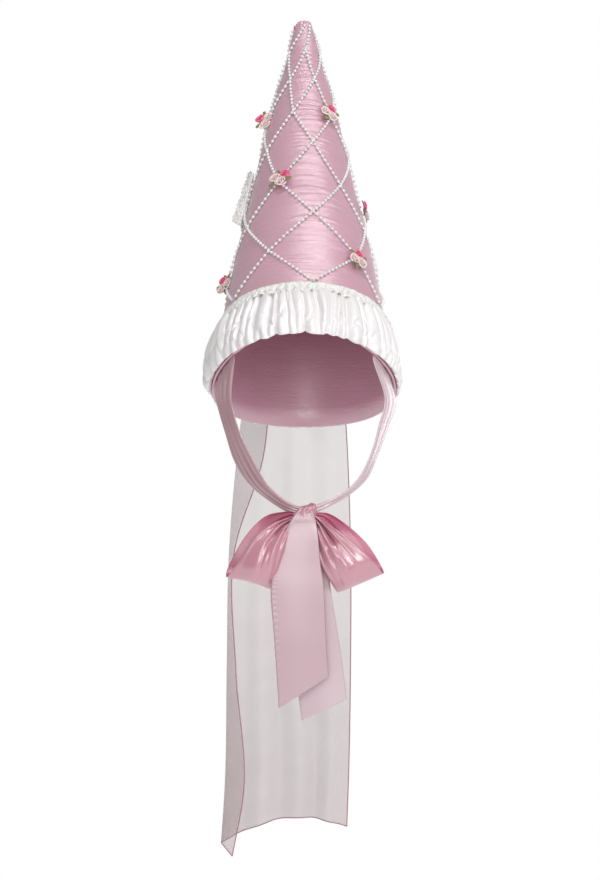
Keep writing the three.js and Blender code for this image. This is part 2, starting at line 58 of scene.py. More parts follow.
# Where the bead strings cross: the height of each ring of crossings, and their turns in degrees
CROSSINGS = [
    (68, (-57, 6, 66, 126, 186, 246)),
    (113, (-27, 43, 98, 157, 214, 272)),
    (160, (-57, 8, 64, 124, 186, 246)),
    (206, (-26, 39, 96, 156, 214, 273)),
    (258, (-51, 11, 72, 130, 190, 250)),
    (302, (-80, -16, 44, 104, 164, 222)),
    (351, (-90, -29, 22, 80, 138, 200)),
    (394, (-52, 6, 62, 120, 180, 240)),
    (429, (4, 30, 104, 150, 215, 275)),
]
RISING_ONLY_FROM = 7  # from this ring on, only the rising strings go on to the tip
BEAD, BEAD_PITCH, THREAD = 3.2, 5.5, 0.5  # diameter, from bead to bead, and the thread's diameter

# Ribbon roses: the ring and place of the crossing, the shift up and round (degrees), and the spin and
# the lean (degrees)
CLUSTERS = [
    (1, 1, -5, -1, 35, 0), (1, 3, 0, 0, 120, 0), (1, 5, -6, 6, 75, -35),
    (3, 0, 0, 3, 0, 0), (3, 2, -2, -5, 100, 0), (3, 4, 0, 0, 210, 0),
    (5, 0, 6, 4, 120, -55), (5, 2, 0, -6, 20, 0), (5, 4, 0, 0, 300, 0),
]


# ---- shapes by rule ----

def smooth_table(rows, column, at):
    """A column of a table at some heights, smoothly between its rows."""
    xs = np.array([r[0] for r in rows], float)
    ys = np.array([r[column] for r in rows], float)
    slope = np.gradient(ys, xs)
    x = np.clip(at, xs[0], xs[-1])
    i = np.clip(np.searchsorted(xs, x, side="right") - 1, 0, len(xs) - 2)
    span = xs[i + 1] - xs[i]
    t = (x - xs[i]) / span
    return (ys[i] * (1 + 2 * t) * (1 - t) ** 2 + slope[i] * span * t * (1 - t) ** 2
            + ys[i + 1] * t * t * (3 - 2 * t) + slope[i + 1] * span * t * t * (t - 1))


def on_cone(height, turn, stand=0.0):
    """Points on the cone or above it, in the cone's own frame. turn is in radians from the front."""
    height, turn, stand = np.broadcast_arrays(np.asarray(height, float), turn, stand)
    wide = smooth_table(CONE, 1, height) + stand
    deep = smooth_table(CONE, 2, height) + stand
    nape = NAPE * np.maximum(-np.cos(turn), 0) * np.clip(1 - height / NAPE_TOP, 0, 1)
    return np.stack([wide * (1 - nape) * np.sin(turn), -deep * np.cos(turn), height], -1)


def worn(points):
    """From the cone's own frame to the wearer's."""
    x, y, z = np.moveaxis(np.asarray(points, float), -1, 0)
    c, s = math.cos(TILT), math.sin(TILT)
    return np.stack([x, y * c + z * s, z * c - y * s], -1)


def share_grid(rows, columns):
    """Shares from 0 to 1 down the rows and across the columns."""
    return np.linspace(0, 1, rows)[:, None], np.linspace(0, 1, columns)[None, :]


def ring_grid(rows, columns):
    """Shares from 0 to 1 down the rows, and turns in radians once round the columns."""
    return np.linspace(0, 1, rows)[:, None], np.linspace(0, 2 * np.pi, columns, endpoint=False)[None, :]


def wrap(degrees):
    """Angles brought between -180 and 180 degrees."""
    return (degrees + 180) % 360 - 180


def arch(share):
    """0 at both ends of a share from 0 to 1, and 1 in its middle."""
    return np.sin(np.pi * share)


def bell(x):
    """1 at 0, and less on both sides."""
    return np.exp(-x ** 2)


def soft_noise(x, y, seed, period=256):
    """Smooth noise from -1 to 1 that repeats in x after a whole number of steps."""
    table = np.random.default_rng(seed).uniform(-1, 1, (256, 64))
    x, y = np.broadcast_arrays(np.asarray(x, float), np.asarray(y, float))
    cell_x, cell_y = np.floor(x).astype(int), np.floor(y).astype(int)
    ease = lambda f: f * f * f * (f * (f * 6 - 15) + 10)
    fx, fy = ease(x - cell_x), ease(y - cell_y)
    at = lambda i, j: table[(cell_x + i) % period, (cell_y + j) % 64]
    low = at(0, 0) * (1 - fx) + at(1, 0) * fx
    high = at(0, 1) * (1 - fx) + at(1, 1) * fx
    return low * (1 - fy) + high * fy


def spline(points, shares):
    """A smooth curve through a few points, at shares of its way from 0 to 1."""
    p = np.array(points, float)
    p = np.vstack([2 * p[0] - p[1], p, 2 * p[-1] - p[-2]])
    place = np.clip(shares, 0, 1) * (len(p) - 3)
    i = np.minimum(np.floor(place).astype(int), len(p) - 4)
    t = (place - i)[:, None]
    a, b, c, d = p[i], p[i + 1], p[i + 2], p[i + 3]
    square, cube = 2 * a - 5 * b + 4 * c - d, 3 * b - a - 3 * c + d
    return 0.5 * (2 * b + (c - a) * t + square * t ** 2 + cube * t ** 3)


def normals(rows, ring):
    """Unit normals of a grid of points, on the side where its faces point."""
    down = np.gradient(rows, axis=0)
    across = (np.roll(rows, -1, 1) - np.roll(rows, 1, 1)) if ring else np.gradient(rows, axis=1)
    n = np.cross(down, across)
    length = np.linalg.norm(n, axis=-1, keepdims=True)
    return n / np.maximum(length, 1e-9)


def line_folds(t, u, table):
    """Ridges and valleys along straight lines of a ribbon. Each row of the table: from (t, u), to (t, u),
    half width in u, and rise."""
    rise = np.zeros(np.broadcast(t, u).shape)
    for t0, u0, t1, u1, half, lift in table:
        share = (t - t0) / (t1 - t0)
        line = u0 + (u1 - u0) * share
        fade = np.clip(share / 0.12 + 1, 0, 1) * np.clip((1 - share) / 0.45, 0, 1)
        rise += lift * fade * (share > -0.5) * np.exp(-(np.abs(u - line) / half) ** 1.5)
    return rise


# ---- meshes ----

def in_scene(name, data):
    """A new object in the scene for a mesh, a camera or a light."""
    thing = bpy.data.objects.new(name, data)
    bpy.context.scene.collection.objects.link(thing)
    return thing


class Cloth:
    """Collects grids of points as quads, with a UV in millimetres for weave and lace."""

    def __init__(self):
        self.points, self.faces, self.uvs, self.count = [], [], [], 0
        self.reverse = (0, 0)  # the faces that take the second material

    def face(self, corners):
        """One face between points that are there already."""
        self.faces.append(corners)
        self.uvs.append(np.zeros((len(corners), 2)))

    def fan(self, point, ring, flip=False):
        """Shuts a ring of point numbers with triangles to a new point."""
        self.points.append(np.array([point], float))
        for one, two in zip(ring, ring[1:] + ring[:1]):
            self.face([two, self.count, one] if flip else [one, self.count, two])
        self.count += 1

    def add(self, rows, size, ring=False, flip=False, close=None):
        """One grid. size is (across, along) for its UV. close is a point that shuts its last ring."""
        n_rows, n_cols = rows.shape[:2]
        steps = n_cols if ring else n_cols - 1
        i, j = np.meshgrid(np.arange(n_rows - 1), np.arange(steps), indexing="ij")
        corner = lambda di, dj: ((i + di) * n_cols + (j + dj) % n_cols).ravel() + self.count
        place = lambda di, dj: np.stack(
            [(j + dj).ravel() / steps * size[0], (i + di).ravel() / (n_rows - 1) * size[1]], -1)
        order = [(0, 0), (1, 0), (1, 1), (0, 1)]
        if flip:
            order.reverse()
        self.faces += np.stack([corner(*o) for o in order], -1).tolist()
        self.uvs.append(np.stack([place(*o) for o in order], 1).reshape(-1, 2))
        self.points.append(rows.reshape(-1, 3))
        first = self.count
        self.count += n_rows * n_cols
        if close is not None:
            self.fan(close, list(range(self.count - n_cols, self.count)), flip)
        return first

    def stitch(self, one, two, closed=False):
        """Quads between two rows of point numbers."""
        one, two = one.tolist(), two.tolist()
        for k in range(len(one) if closed else len(one) - 1):
            m = (k + 1) % len(one)
            self.face([one[k], one[m], two[m], two[k]])

    def sheet(self, rows, thickness, size, ring=False, two_sided=False):
        """A closed sheet round a grid of points of its middle, with its front on the side of its normals."""
        lift = normals(rows, ring) * (thickness / 2)
        n_rows, n_cols = rows.shape[:2]
        front = self.add(rows + lift, size, ring)
        start = len(self.faces)
        back = self.add(rows - lift, size, ring, flip=True)
        if two_sided:
            self.reverse = (start, len(self.faces))
        top, left = np.arange(n_cols), np.arange(n_rows) * n_cols
        edges = [(top, ring, 1), (top + (n_rows - 1) * n_cols, ring, -1)]
        if not ring:
            edges += [(left, False, -1), (left + n_cols - 1, False, 1)]
        for line, closed, way in edges:
            self.stitch((front + line)[::way], (back + line)[::way], closed)

    def build(self, name):
        mesh = bpy.data.meshes.new(name)
        mesh.from_pydata((np.vstack(self.points) * MM).tolist(), [], self.faces)
        layer = mesh.uv_layers.new(name="cloth")
        layer.data.foreach_set("uv", np.vstack(self.uvs).ravel())
        mesh.polygons.foreach_set("use_smooth", [True] * len(mesh.polygons))
        for k in range(*self.reverse):
            mesh.polygons[k].material_index = 1
        mesh.validate()
        return in_scene(name, mesh)


def sheet_piece(name, rows, thickness, size, ring=False, two_sided=False):
    cloth = Cloth()
    cloth.sheet(rows, thickness, size, ring, two_sided)
    return cloth.build(name)


def place_piece(piece, finishes, nodes=()):
    """Gives a finished piece its materials and its part in the frame."""
    for finish in finishes:
        piece.data.materials.append(finish)
    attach(piece, BODY)
    if nodes:
        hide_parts(*nodes)


# ---- materials ----

FLOAT, VECTOR, GEOMETRY = (f"NodeSocket{kind}" for kind in ("Float", "Vector", "Geometry"))


def new_tree(name, kind, inputs, outputs):
    """A node group. Each input is a label, a kind of socket and a value or None."""
    tree = bpy.data.node_groups.new(name, kind)
    for label, socket_type, value in inputs:
        socket = tree.interface.new_socket(label, in_out="INPUT", socket_type=socket_type)
        if value is not None:
            socket.default_value = value
    for label, socket_type in outputs:
        tree.interface.new_socket(label, in_out="OUTPUT", socket_type=socket_type)
    return tree


def feed(tree, made, inputs):
    """Gives a node's inputs their values. A value can be the output of another node."""
    for label, value in inputs.items():
        if isinstance(value, bpy.types.NodeSocket):
            tree.links.new(value, made.inputs[label])
        else:
            made.inputs[label].default_value = value


def node(tree, kind, inputs=None, **settings):
    """A new node with its settings and its inputs."""
    made = tree.nodes.new(kind)
    for label, value in settings.items():
        setattr(made, label, value)
    feed(tree, made, inputs or {})
    return made


def calculate(tree, operation, *terms):
    """The output of a math node."""
    return node(tree, "ShaderNodeMath", dict(enumerate(terms)), operation=operation).outputs[0]


def noise(tree, vector, scale, **others):
    """The output of a noise texture."""
    values = {label.capitalize(): value for label, value in others.items()}
    return node(tree, "ShaderNodeTexNoise", {"Vector": vector, "Scale": scale, **values}).outputs["Fac"]


def blend(tree, factor, dark, light):
    """A mix of two colours by a value that changes over the cloth."""
    values = {"A": (*dark, 1), "B": (*light, 1), "Factor": factor}
    return node(tree, "ShaderNodeMix", values, data_type="RGBA").outputs["Result"]


def darker(color, share):
    return tuple(c * share for c in color)


def shaded(name):
    """A new material, its tree, its shader, and the UV of its cloth."""
    material = bpy.data.materials.new(name)
    material.use_nodes = True
    tree = material.node_tree
    uv = node(tree, "ShaderNodeUVMap", uv_map="cloth").outputs["UV"]
    return material, tree, tree.nodes["Principled BSDF"], uv


def weave_group():
    """Fine satin threads: a height with long floats across the cloth, and a slight change of shade."""
    tree = new_tree("satin threads", "ShaderNodeTree",
                    [("Cloth", VECTOR, (0, 0, 0)), ("Thread", FLOAT, 0.35), ("Slub", FLOAT, 0.5)],
                    [("Height", FLOAT), ("Shade", FLOAT)])
    source = node(tree, "NodeGroupInput").outputs
    longer = {0: source["Cloth"], 1: (0.12, 1.0, 1.0)}
    across = node(tree, "ShaderNodeVectorMath", longer, operation="MULTIPLY").outputs[0]
    threads = noise(tree, across, calculate(tree, "DIVIDE", 1.0, source["Thread"]), detail=1.0)
    slubs = noise(tree, across, 0.05, detail=3.0)
    height = calculate(tree, "MULTIPLY_ADD", slubs, source["Slub"], threads)
    node(tree, "NodeGroupOutput", {"Height": height, "Shade": slubs})
    return tree


def satin(name, dark, light, roughness, thread=0.35, bump=0.10, sheen=0.2, gloss=1.75, fine=0.0):
    """Woven satin. fine is the height of the small puckers across the cone."""
    material, tree, shader, uv = shaded(name)
    weave = node(tree, "ShaderNodeGroup", node_tree=WEAVE)
    feed(tree, weave, {"Cloth": uv, "Thread": thread})
    height = weave.outputs["Height"]
    if fine:
        place = node(tree, "ShaderNodeTexCoord").outputs["Object"]
        stretch = {"Vector": place, "Scale": (30, 30, 330), "Rotation": (-TILT, 0, 0)}
        along = node(tree, "ShaderNodeMapping", stretch).outputs["Vector"]
        puckers = noise(tree, along, 1.0, detail=2.0, distortion=0.6)
        height = calculate(tree, "MULTIPLY_ADD", puckers, fine, height)
    relief = node(tree, "ShaderNodeBump", {"Strength": bump, "Distance": 0.0006, "Height": height})
    feed(tree, shader, {
        "Base Color": blend(tree, weave.outputs["Shade"], dark, light), "Normal": relief.outputs["Normal"],
        "Roughness": roughness, "Sheen Weight": sheen, "Sheen Roughness": 0.4, "IOR": gloss,
    })
    return material


def lace(name, color, pitch, hole, shine=0.6):
    """Openwork lace: net holes and flower-like closed patches, cut through with alpha."""
    material, tree, shader, uv = shaded(name)
    net = node(tree, "ShaderNodeTexVoronoi", {"Vector": uv, "Scale": 1 / pitch}, feature="DISTANCE_TO_EDGE")
    net = net.outputs["Distance"]
    patches = noise(tree, uv, 0.22, detail=1.0)
    in_hole = calculate(tree, "GREATER_THAN", net, hole)
    in_net = calculate(tree, "LESS_THAN", patches, 0.58)
    open_here = calculate(tree, "MULTIPLY", in_hole, in_net)
    relief = node(tree, "ShaderNodeBump", {"Strength": 0.6, "Distance": 0.0004, "Height": net}, invert=True)
    feed(tree, shader, {
        "Base Color": blend(tree, patches, darker(color, 0.9), color), "Normal": relief.outputs["Normal"],
        "Alpha": calculate(tree, "SUBTRACT", 1.0, open_here), "Roughness": shine, "Sheen Weight": 0.2,
    })
    return material


def pearly(name, color):
    material, tree, shader, _ = shaded(name)
    mottle = noise(tree, node(tree, "ShaderNodeTexCoord").outputs["Object"], 160.0)
    feed(tree, shader, {
        "Base Color": blend(tree, mottle, darker(color, 0.93), color), "Roughness": 0.28,
        "Coat Weight": 0.5, "Coat Roughness": 0.12, "Specular IOR Level": 0.6,
    })
    return material


def sheer(name, color, alpha):
    """Organza: a fine open weave that lets light through, and less of it near the hem."""
    material = satin(name, darker(color, 0.93), color, 0.6, thread=0.5, bump=0.0, sheen=0.3, gloss=1.45)
    tree = material.node_tree
    uv = node(tree, "ShaderNodeUVMap", uv_map="cloth").outputs["UV"]
    down = node(tree, "ShaderNodeSeparateXYZ", {"Vector": uv}).outputs["Y"]
    cloudy = {"Value": noise(tree, uv, 0.03), "To Min": alpha * 0.85, "To Max": alpha * 1.15}
    denser = {"Value": down, "From Min": 470, "From Max": 860, "To Max": 0.15}
    both = [node(tree, "ShaderNodeMapRange", values).outputs["Result"] for values in (denser, cloudy)]
    feed(tree, tree.nodes["Principled BSDF"], {"Alpha": calculate(tree, "ADD", *both)})
    return material


WEAVE = weave_group()
PINK_SATIN = satin("pink crown satin", (0.55, 0.285, 0.365), (0.64, 0.35, 0.44), 0.34, thread=0.8, bump=0.55,
                   fine=0.7, gloss=2.3)
RIBBON_SATIN = satin("pink ribbon satin", (0.465, 0.28, 0.325), (0.51, 0.315, 0.365), 0.38,
                     bump=0.12, gloss=2.4)
# a lighter copy of the ribbon satin: painted light on the wearer's left strap and on the back tail
LIGHT_PAINTED_RIBBON = satin("ribbon satin with painted light", (0.55, 0.39, 0.435), (0.60, 0.435, 0.485), 0.36,
                     bump=0.12, gloss=2.4)
# a darker copy of the ribbon satin: painted shade for the wearer's right strap, which faces away from the
# lamps
SHADE_PAINTED_STRAP = satin("strap satin with painted shade", (0.36, 0.145, 0.185), (0.40, 0.17, 0.215), 0.33, bump=0.12, gloss=2.8)
# a deeper, more saturated copy of the ribbon satin: painted shade and inter-reflected pink of the folds in the
# bow's loops and knot
SHADE_PAINTED_LOOP = satin("loop satin with painted shade", (0.50, 0.19, 0.255), (0.56, 0.235, 0.30), 0.28, bump=0.12, gloss=2.4)
# the ribbon's reverse side, coloured a deep pink as painted shade inside the loops
SHADE_PAINTED_REVERSE = satin("reverse side with painted shade", (0.47, 0.08, 0.17), (0.53, 0.11, 0.21), 0.36, bump=0.12, gloss=2.0)
WHITE_SATIN = satin("white satin", (0.82, 0.785, 0.79), (0.87, 0.84, 0.845), 0.33,
                    bump=0.1, sheen=0.1, gloss=1.8)
WHITE_LACE = lace("white lace", (0.97, 0.965, 0.93), 1.4, 0.21)
SILVER_LACE = lace("silvery lace", (0.92, 0.93, 0.90), 1.9, 0.13, shine=0.4)
PEARL = pearly("pearl", (0.83, 0.87, 0.84))
PALE_PETAL = satin("pale petal satin", (0.82, 0.62, 0.61), (0.93, 0.80, 0.77), 0.4, bump=0.1)
PINK_PETAL = satin("pink petal satin", (0.78, 0.06, 0.20), (0.92, 0.20, 0.36), 0.35, bump=0.1)
LEAF_SATIN = satin("green leaf satin", (0.10, 0.11, 0.02), (0.30, 0.34, 0.09), 0.4, bump=0.1)
ORGANZA = sheer("sheer organza", (0.47, 0.36, 0.37), 0.215)
VEIL_HEM = satin("rolled veil hem", (0.36, 0.13, 0.20), (0.45, 0.18, 0.26), 0.5)


# ---- the cone ----

# The main creases across the satin: height and turn of the middle, reach each way in degrees, half width,
# rise, and how far the ends droop
CREASES = [
    (392, 8, 30, 1.6, 0.45, 1.5), (386, 4, 34, 1.5, 0.4, 1.5), (379, 0, 36, 1.8, 0.7, 3.0),
    (372, -2, 34, 1.5, 0.4, 2.5), (366, 4, 40, 1.7, 0.55, 3.0), (360, 8, 36, 1.5, 0.5, 2.5),
    (350, 4, 44, 2.2, 0.95, 4.5), (338, 22, 22, 2.0, 0.3, 2.5), (329, 20, 24, 2.2, 0.35, 2.0),
    (317, 4, 46, 2.6, 0.95, 5.0), (310, 16, 34, 2.0, 0.55, 4.0), (303, 2, 50, 2.6, 1.0, 6.0),
    (296, 16, 34, 1.8, 0.5, 4.0), (289, 12, 36, 2.4, 0.6, 5.0), (272, 0, 30, 2.0, 0.65, 3.0),
    (266, 22, 24, 1.8, 0.5, 3.5), (260, 14, 22, 1.8, 0.5, 3.0), (252, 10, 28, 2.4, 0.7, 4.0),
    (240, 10, 26, 3.2, 0.45, 4.0), (226, 2, 24, 3.4, 0.4, 3.0), (210, 4, 26, 2.6, 0.5, 4.0),
    (194, 6, 34, 3.6, 1.0, 7.0), (186, 20, 22, 2.2, 0.45, 4.5), (176, 18, 26, 2.2, 0.5, 5.0),
    (168, 14, 24, 1.8, 0.4, 3.0), (154, 10, 30, 2.6, 0.7, 5.0), (146, -22, 30, 2.4, 0.5, 5.0),
    (138, 16, 34, 3.4, 0.4, 6.0), (128, -16, 30, 3.0, 0.55, 5.0), (118, 24, 30, 3.4, 0.55, 7.0),
    (108, -30, 24, 2.2, 0.55, 4.0), (102, -10, 26, 1.8, 0.45, 2.5), (97, -14, 24, 1.6, 0.5, 2.5),
    (92, -18, 22, 1.6, 0.45, 2.0), (88, 2, 22, 1.5, 0.4, 2.0), (83, -20, 26, 1.8, 0.45, 3.0),
    (79, 18, 20, 1.6, 0.4, 1.0),
]
CREASE_WIDTH, CREASE_RISE = 0.7, 1.5  # what the table's half widths and rises are multiplied by
SCATTERED_CREASES = 130
STRING_CREASES = 230  # short wrinkles where the strings are sewn down


def string_points():
    """Places on the strings round the front, as heights and turns in degrees."""
    places = []
    for ring in range(len(CROSSINGS) - 1):
        for place, turn in enumerate(CROSSINGS[ring][1]):
            for rising in ((True, False) if ring < RISING_ONLY_FROM else (True,)):
                step, _ = next_crossing(ring, place, rising)
                low, high = CROSSINGS[ring][0], CROSSINGS[ring + 1][0]
                places += [(low + (high - low) * share, turn + step * share)
                           for share in (0.05, 0.3, 0.55, 0.8)]
    return places


def crease_table():
    """The main creases, wrinkles along the strings, and small ones set at random."""
    rng = np.random.default_rng(11)
    rows = [(h, turn, reach, half * CREASE_WIDTH, lift * CREASE_RISE, droop)
            for h, turn, reach, half, lift, droop in CREASES]
    places = string_points()
    for _ in range(STRING_CREASES):
        height, turn = places[rng.integers(len(places))]
        rows.append((height + rng.normal(0, 3), turn + rng.normal(0, 5),
                     rng.uniform(6, 17) * (1 + 0.002 * height),
                     rng.uniform(0.8, 1.4), rng.uniform(0.18, 0.5), rng.uniform(0.4, 2.6)))
    for _ in range(SCATTERED_CREASES):
        rows.append((rng.uniform(72, 410), rng.normal(6, 62), rng.uniform(9, 24), rng.uniform(1.0, 2.2),
                     rng.uniform(0.12, 0.40), rng.uniform(0.5, 3.5)))
    return rows


def crease_rise(height, turn):
    """How far the satin stands up from the cone's form, in millimetres, over a grid of heights and turns."""
    rise = np.zeros(np.broadcast(height, turn).shape)
    degrees = np.degrees(turn)
    for middle, centre, reach, half, lift, droop in crease_table():
        share = wrap(degrees - centre) / reach
        line = middle - droop * share ** 2
        near = (height - line) / half
        fade = np.clip(1 - share ** 2, 0, 1) ** 1.5
        # a crease is a ridge with a shallower hollow below it
        rise += lift * fade * (np.exp(-np.abs(near) ** 1.6) - 0.45 * bell((near + 1.9) / 1.3))
    slow = soft_noise(turn / (2 * np.pi) * 9, height / 38, 5, period=9)
    gathers = 0.5 * np.sin(13 * turn) * np.clip((height - 424) / 12, 0, 1)
    return rise + 0.45 * slow * np.clip(height / 60, 0, 1) + gathers


RIM_HEIGHT, RIM_TUCK = 4.2, 2.6  # at the front, and how much further down than the dip it goes at the sides
CROWN_SIZE = (2 * np.pi * 60, 470)  # its mean girth and its slant height, for the UV


def cone_piece():
    """The satin crown: its creased outside and plain inside, joined at the rim and shut at the tip."""
    columns = 150
    share, turn = ring_grid(590, columns)
    rim = RIM_HEIGHT - (SIDE_DIP + RIM_TUCK) * np.sin(turn) ** 2
    height = rim + (CONE_TOP - rim) * share
    outer = worn(on_cone(height, turn, crease_rise(height, turn)))
    inner_share, _ = ring_grid(24, columns)
    inner = worn(on_cone(rim + (INNER_TOP - rim) * inner_share, turn, -CONE_WALL))
    cloth = Cloth()
    a = cloth.add(outer, CROWN_SIZE, ring=True, flip=True, close=worn((0, 0, TIP_HEIGHT)))
    b = cloth.add(inner, CROWN_SIZE, ring=True, close=worn((0, 0, TIP_HEIGHT - 2 * CONE_WALL)))
    ring = np.arange(columns)
    cloth.stitch(b + ring, a + ring, closed=True)
    piece = cloth.build("crown_satin")
    place_piece(piece, [PINK_SATIN], ["cone"])


# ---- the beads ----

def next_crossing(ring, place, rising):
    """The turn to the nearest crossing of the next ring on one side, in degrees, and its place there."""
    here = CROSSINGS[ring][1][place]
    steps = [(wrap(turn - here), k) for k, turn in enumerate(CROSSINGS[ring + 1][1])]
    return min((s for s in steps if (s[0] > 0) == rising), key=lambda s: abs(s[0]))


def string_route(start, rising):
    """A bead string's points: from crossing to crossing, along the cone's surface."""
    rings = len(CROSSINGS) if rising else RISING_ONLY_FROM + 1
    place, turn, route = start, CROSSINGS[0][1][start], []
    for ring in range(rings - 1):
        step, place = next_crossing(ring, place, rising)
        low, high = CROSSINGS[ring][0], CROSSINGS[ring + 1][0]
        share = np.linspace(0, 1, 12, endpoint=ring == rings - 2)
        route.append(np.stack([low + (high - low) * share, turn + step * share], -1))
        turn += step
    heights, turns = np.vstack(route).T
    turns = np.radians(turns)
    return worn(on_cone(heights, turns, BEAD / 2 + 0.25 + 0.6 * crease_rise(heights, turns)))


def bead_tree():
    """Strings beads on a line: one bead every pitch, and the thread between them."""
    sizes = [(label, FLOAT, None) for label in ("Bead diameter", "Bead pitch", "Thread diameter")]
    tree = new_tree("strung beads", "GeometryNodeTree",
                    [("Geometry", GEOMETRY, None), *sizes, ("Finish", "NodeSocketMaterial", None)],
                    [("Geometry", GEOMETRY)])
    source = node(tree, "NodeGroupInput").outputs
    line = node(tree, "GeometryNodeMeshToCurve", {"Mesh": source["Geometry"]}).outputs["Curve"]
    spaced = node(tree, "GeometryNodeResampleCurve", mode="LENGTH")
    feed(tree, spaced, {"Curve": line, "Length": source["Bead pitch"]})
    spaced = spaced.outputs["Curve"]
    bead = node(tree, "GeometryNodeMeshIcoSphere", {
        "Radius": calculate(tree, "MULTIPLY", source["Bead diameter"], 0.5), "Subdivisions": 2})
    strung = node(tree, "GeometryNodeInstanceOnPoints", {"Points": spaced, "Instance": bead.outputs["Mesh"]})
    beads = node(tree, "GeometryNodeRealizeInstances", {"Geometry": strung.outputs["Instances"]})
    section = node(tree, "GeometryNodeCurvePrimitiveCircle", {
        "Radius": calculate(tree, "MULTIPLY", source["Thread diameter"], 0.5), "Resolution": 5})
    thread = node(tree, "GeometryNodeCurveToMesh", {
        "Curve": spaced, "Profile Curve": section.outputs["Curve"]})
    both = node(tree, "GeometryNodeJoinGeometry", {"Geometry": beads.outputs["Geometry"]})
    feed(tree, both, {"Geometry": thread.outputs["Mesh"]})
    smooth = node(tree, "GeometryNodeSetShadeSmooth", {"Geometry": both.outputs["Geometry"]})
    finish = node(tree, "GeometryNodeSetMaterial", {
        "Geometry": smooth.outputs["Geometry"], "Material": source["Finish"]})
    node(tree, "NodeGroupOutput", {"Geometry": finish.outputs["Geometry"]})
    return tree


def from_tree(name, carrier, tree, values):
    """Runs a Geometry Nodes tree on a carrier mesh and keeps the result as a plain mesh."""
    modifier = carrier.modifiers.new("make", "NODES")
    modifier.node_group = tree
    for item in tree.interface.items_tree:
        if item.item_type == "SOCKET" and item.in_out == "INPUT" and item.name in values:
            modifier[item.identifier] = values[item.name]
    bpy.context.view_layer.update()
    graph = bpy.context.evaluated_depsgraph_get()
    mesh = bpy.data.meshes.new_from_object(carrier.evaluated_get(graph), depsgraph=graph)
    mesh.name = name
    bpy.data.objects.remove(carrier)
    return in_scene(name, mesh)


def beads_piece():
    points, edges = [], []
    for rising in (True, False):
        for start in range(len(CROSSINGS[0][1])):
            first = len(points)
            points += (string_route(start, rising) * MM).tolist()
            edges += [(k, k + 1) for k in range(first, len(points) - 1)]
    mesh = bpy.data.meshes.new("string lines")
    mesh.from_pydata(points, edges, [])
    piece = from_tree("pearl_strings", in_scene("string lines", mesh), bead_tree(), {
        "Bead diameter": BEAD * MM, "Bead pitch": BEAD_PITCH * MM, "Thread diameter": THREAD * MM,
        "Finish": PEARL,
    })
    place_piece(piece, [], ["bead_strings"])


# ---- the gathered band and the lace at the rim ----

RUFFLE_TOP, RUFFLE_HEM, RUFFLE_DIP, RUFFLE_NAPE_RISE = 57.5, -1, 5, 8
BAND_START, FRONT_END = -86, 83  # turns in degrees where the listed folds of the front start and end
BAND_LENGTH = 1100  # along its folds, for the UV
BAND_SWELL = [  # share down the band, stand from the cone
    (0, 2.6), (0.06, 3.6), (0.25, 5.2), (0.55, 6.4), (0.8, 7.2), (0.93, 6.4), (1, 4.2),
]
FRONT_FOLDS = [  # the valleys between the puffs: turn at the sewn top, and turn at the hem
    (-86, -82), (-76, -72), (-66, -63.5), (-55.9, -55.4), (-49.5, -50.4), (-41.7, -42.6), (-34.8, -37.5),
    (-31, -31.4), (-20.5, -21.6), (-17.2, -16.4), (-12, -8.6), (-8.4, -4.4), (-1.3, 0.4), (4.4, 7.6),
    (8.2, 9.6),
    (18.2, 15.8), (23.4, 20.4), (28.6, 26.2), (36.2, 36.3), (42.4, 41.8), (49.7, 52.4), (57, 58.5),
    (63.5, 63.5), (72.5, 75), (82, 83),
]
FRONT_NIPS = [  # where the hem is caught up: turn, and how far in millimetres
    (-82, 1.6), (-73, 1.8), (-65, 1.6), (-57, 1.5), (-50.4, 3.0), (-44, 1.2), (-37.5, 1.8), (-27, 2.2),
    (-17.2, 3.6), (-9, 0.7), (0.6, 3.4), (13.8, 3.0), (20.4, 2.4), (27, 3.2), (36.5, 2.6), (41.8, 2.8),
    (52, 2.0), (60, 2.0),
    (68, 2.6), (76, 2.4), (84, 2.2),
]
BACK_FOLD_STEP = 5.4
DEEPEST = 4.6  # where folds cross, they cut in no further than this


def fold_lines():
    """The valleys all round the band: the front ones as listed, and the back ones at random."""
    rng = np.random.default_rng(8)
    lines = list(FRONT_FOLDS)
    turn = FRONT_END + BACK_FOLD_STEP
    while turn < 360 + BAND_START - 3:
        lines.append((turn + rng.uniform(-1.2, 1.2), turn + rng.uniform(-1.4, 1.4)))
        turn += BACK_FOLD_STEP * rng.uniform(0.75, 1.3)
    return np.array(lines, float)


def nip_places():
    """Where the hem is caught up all round, and how far in millimetres."""
    rng = np.random.default_rng(18)
    back = [(at + rng.uniform(-3, 3), rng.uniform(0.8, 3.2)) for at in np.arange(92, 272, 9)]
    return FRONT_NIPS + back


def band_creases():
    """Sharp folds of the band. Each row: turn at the top and at the hem, where it starts and stops down the
    band as shares, half width in degrees, depth in millimetres, and how much wider one of its sides is."""
    rng = np.random.default_rng(27)
    rows = []
    for top, hem in fold_lines():
        rows.append((top, hem, -0.2, 1.2, rng.uniform(0.8, 1.5), rng.choice([0.5, 1.7, 2.9]),
                     rng.uniform(-0.7, 0.7)))
    turn = BAND_START
    while turn < 360 + BAND_START:
        rows.append((turn, turn + rng.normal(0, 5), -0.2, rng.uniform(0.15, 0.6), rng.uniform(0.6, 1.2),
                     rng.uniform(0.6, 1.6), rng.uniform(-0.6, 0.6)))
        turn += rng.uniform(3.5, 8.0)
    for at, lift in nip_places():
        for way in (-1, 1):
            start = rng.uniform(0.3, 0.7)
            rows.append((at + way * rng.uniform(3, 10) / (1 - start), at, start, 1.3, rng.uniform(0.7, 1.3),
                         rng.uniform(0.4, 0.9) * (0.7 + 0.45 * lift), 0.5 * way))
    return rows


def down_the_band(turn, share):
    """How far each point is on the way from a fold's top turn to its hem turn, from 0 to 1."""
    return share * share * (3 - 2 * share) + 0 * turn


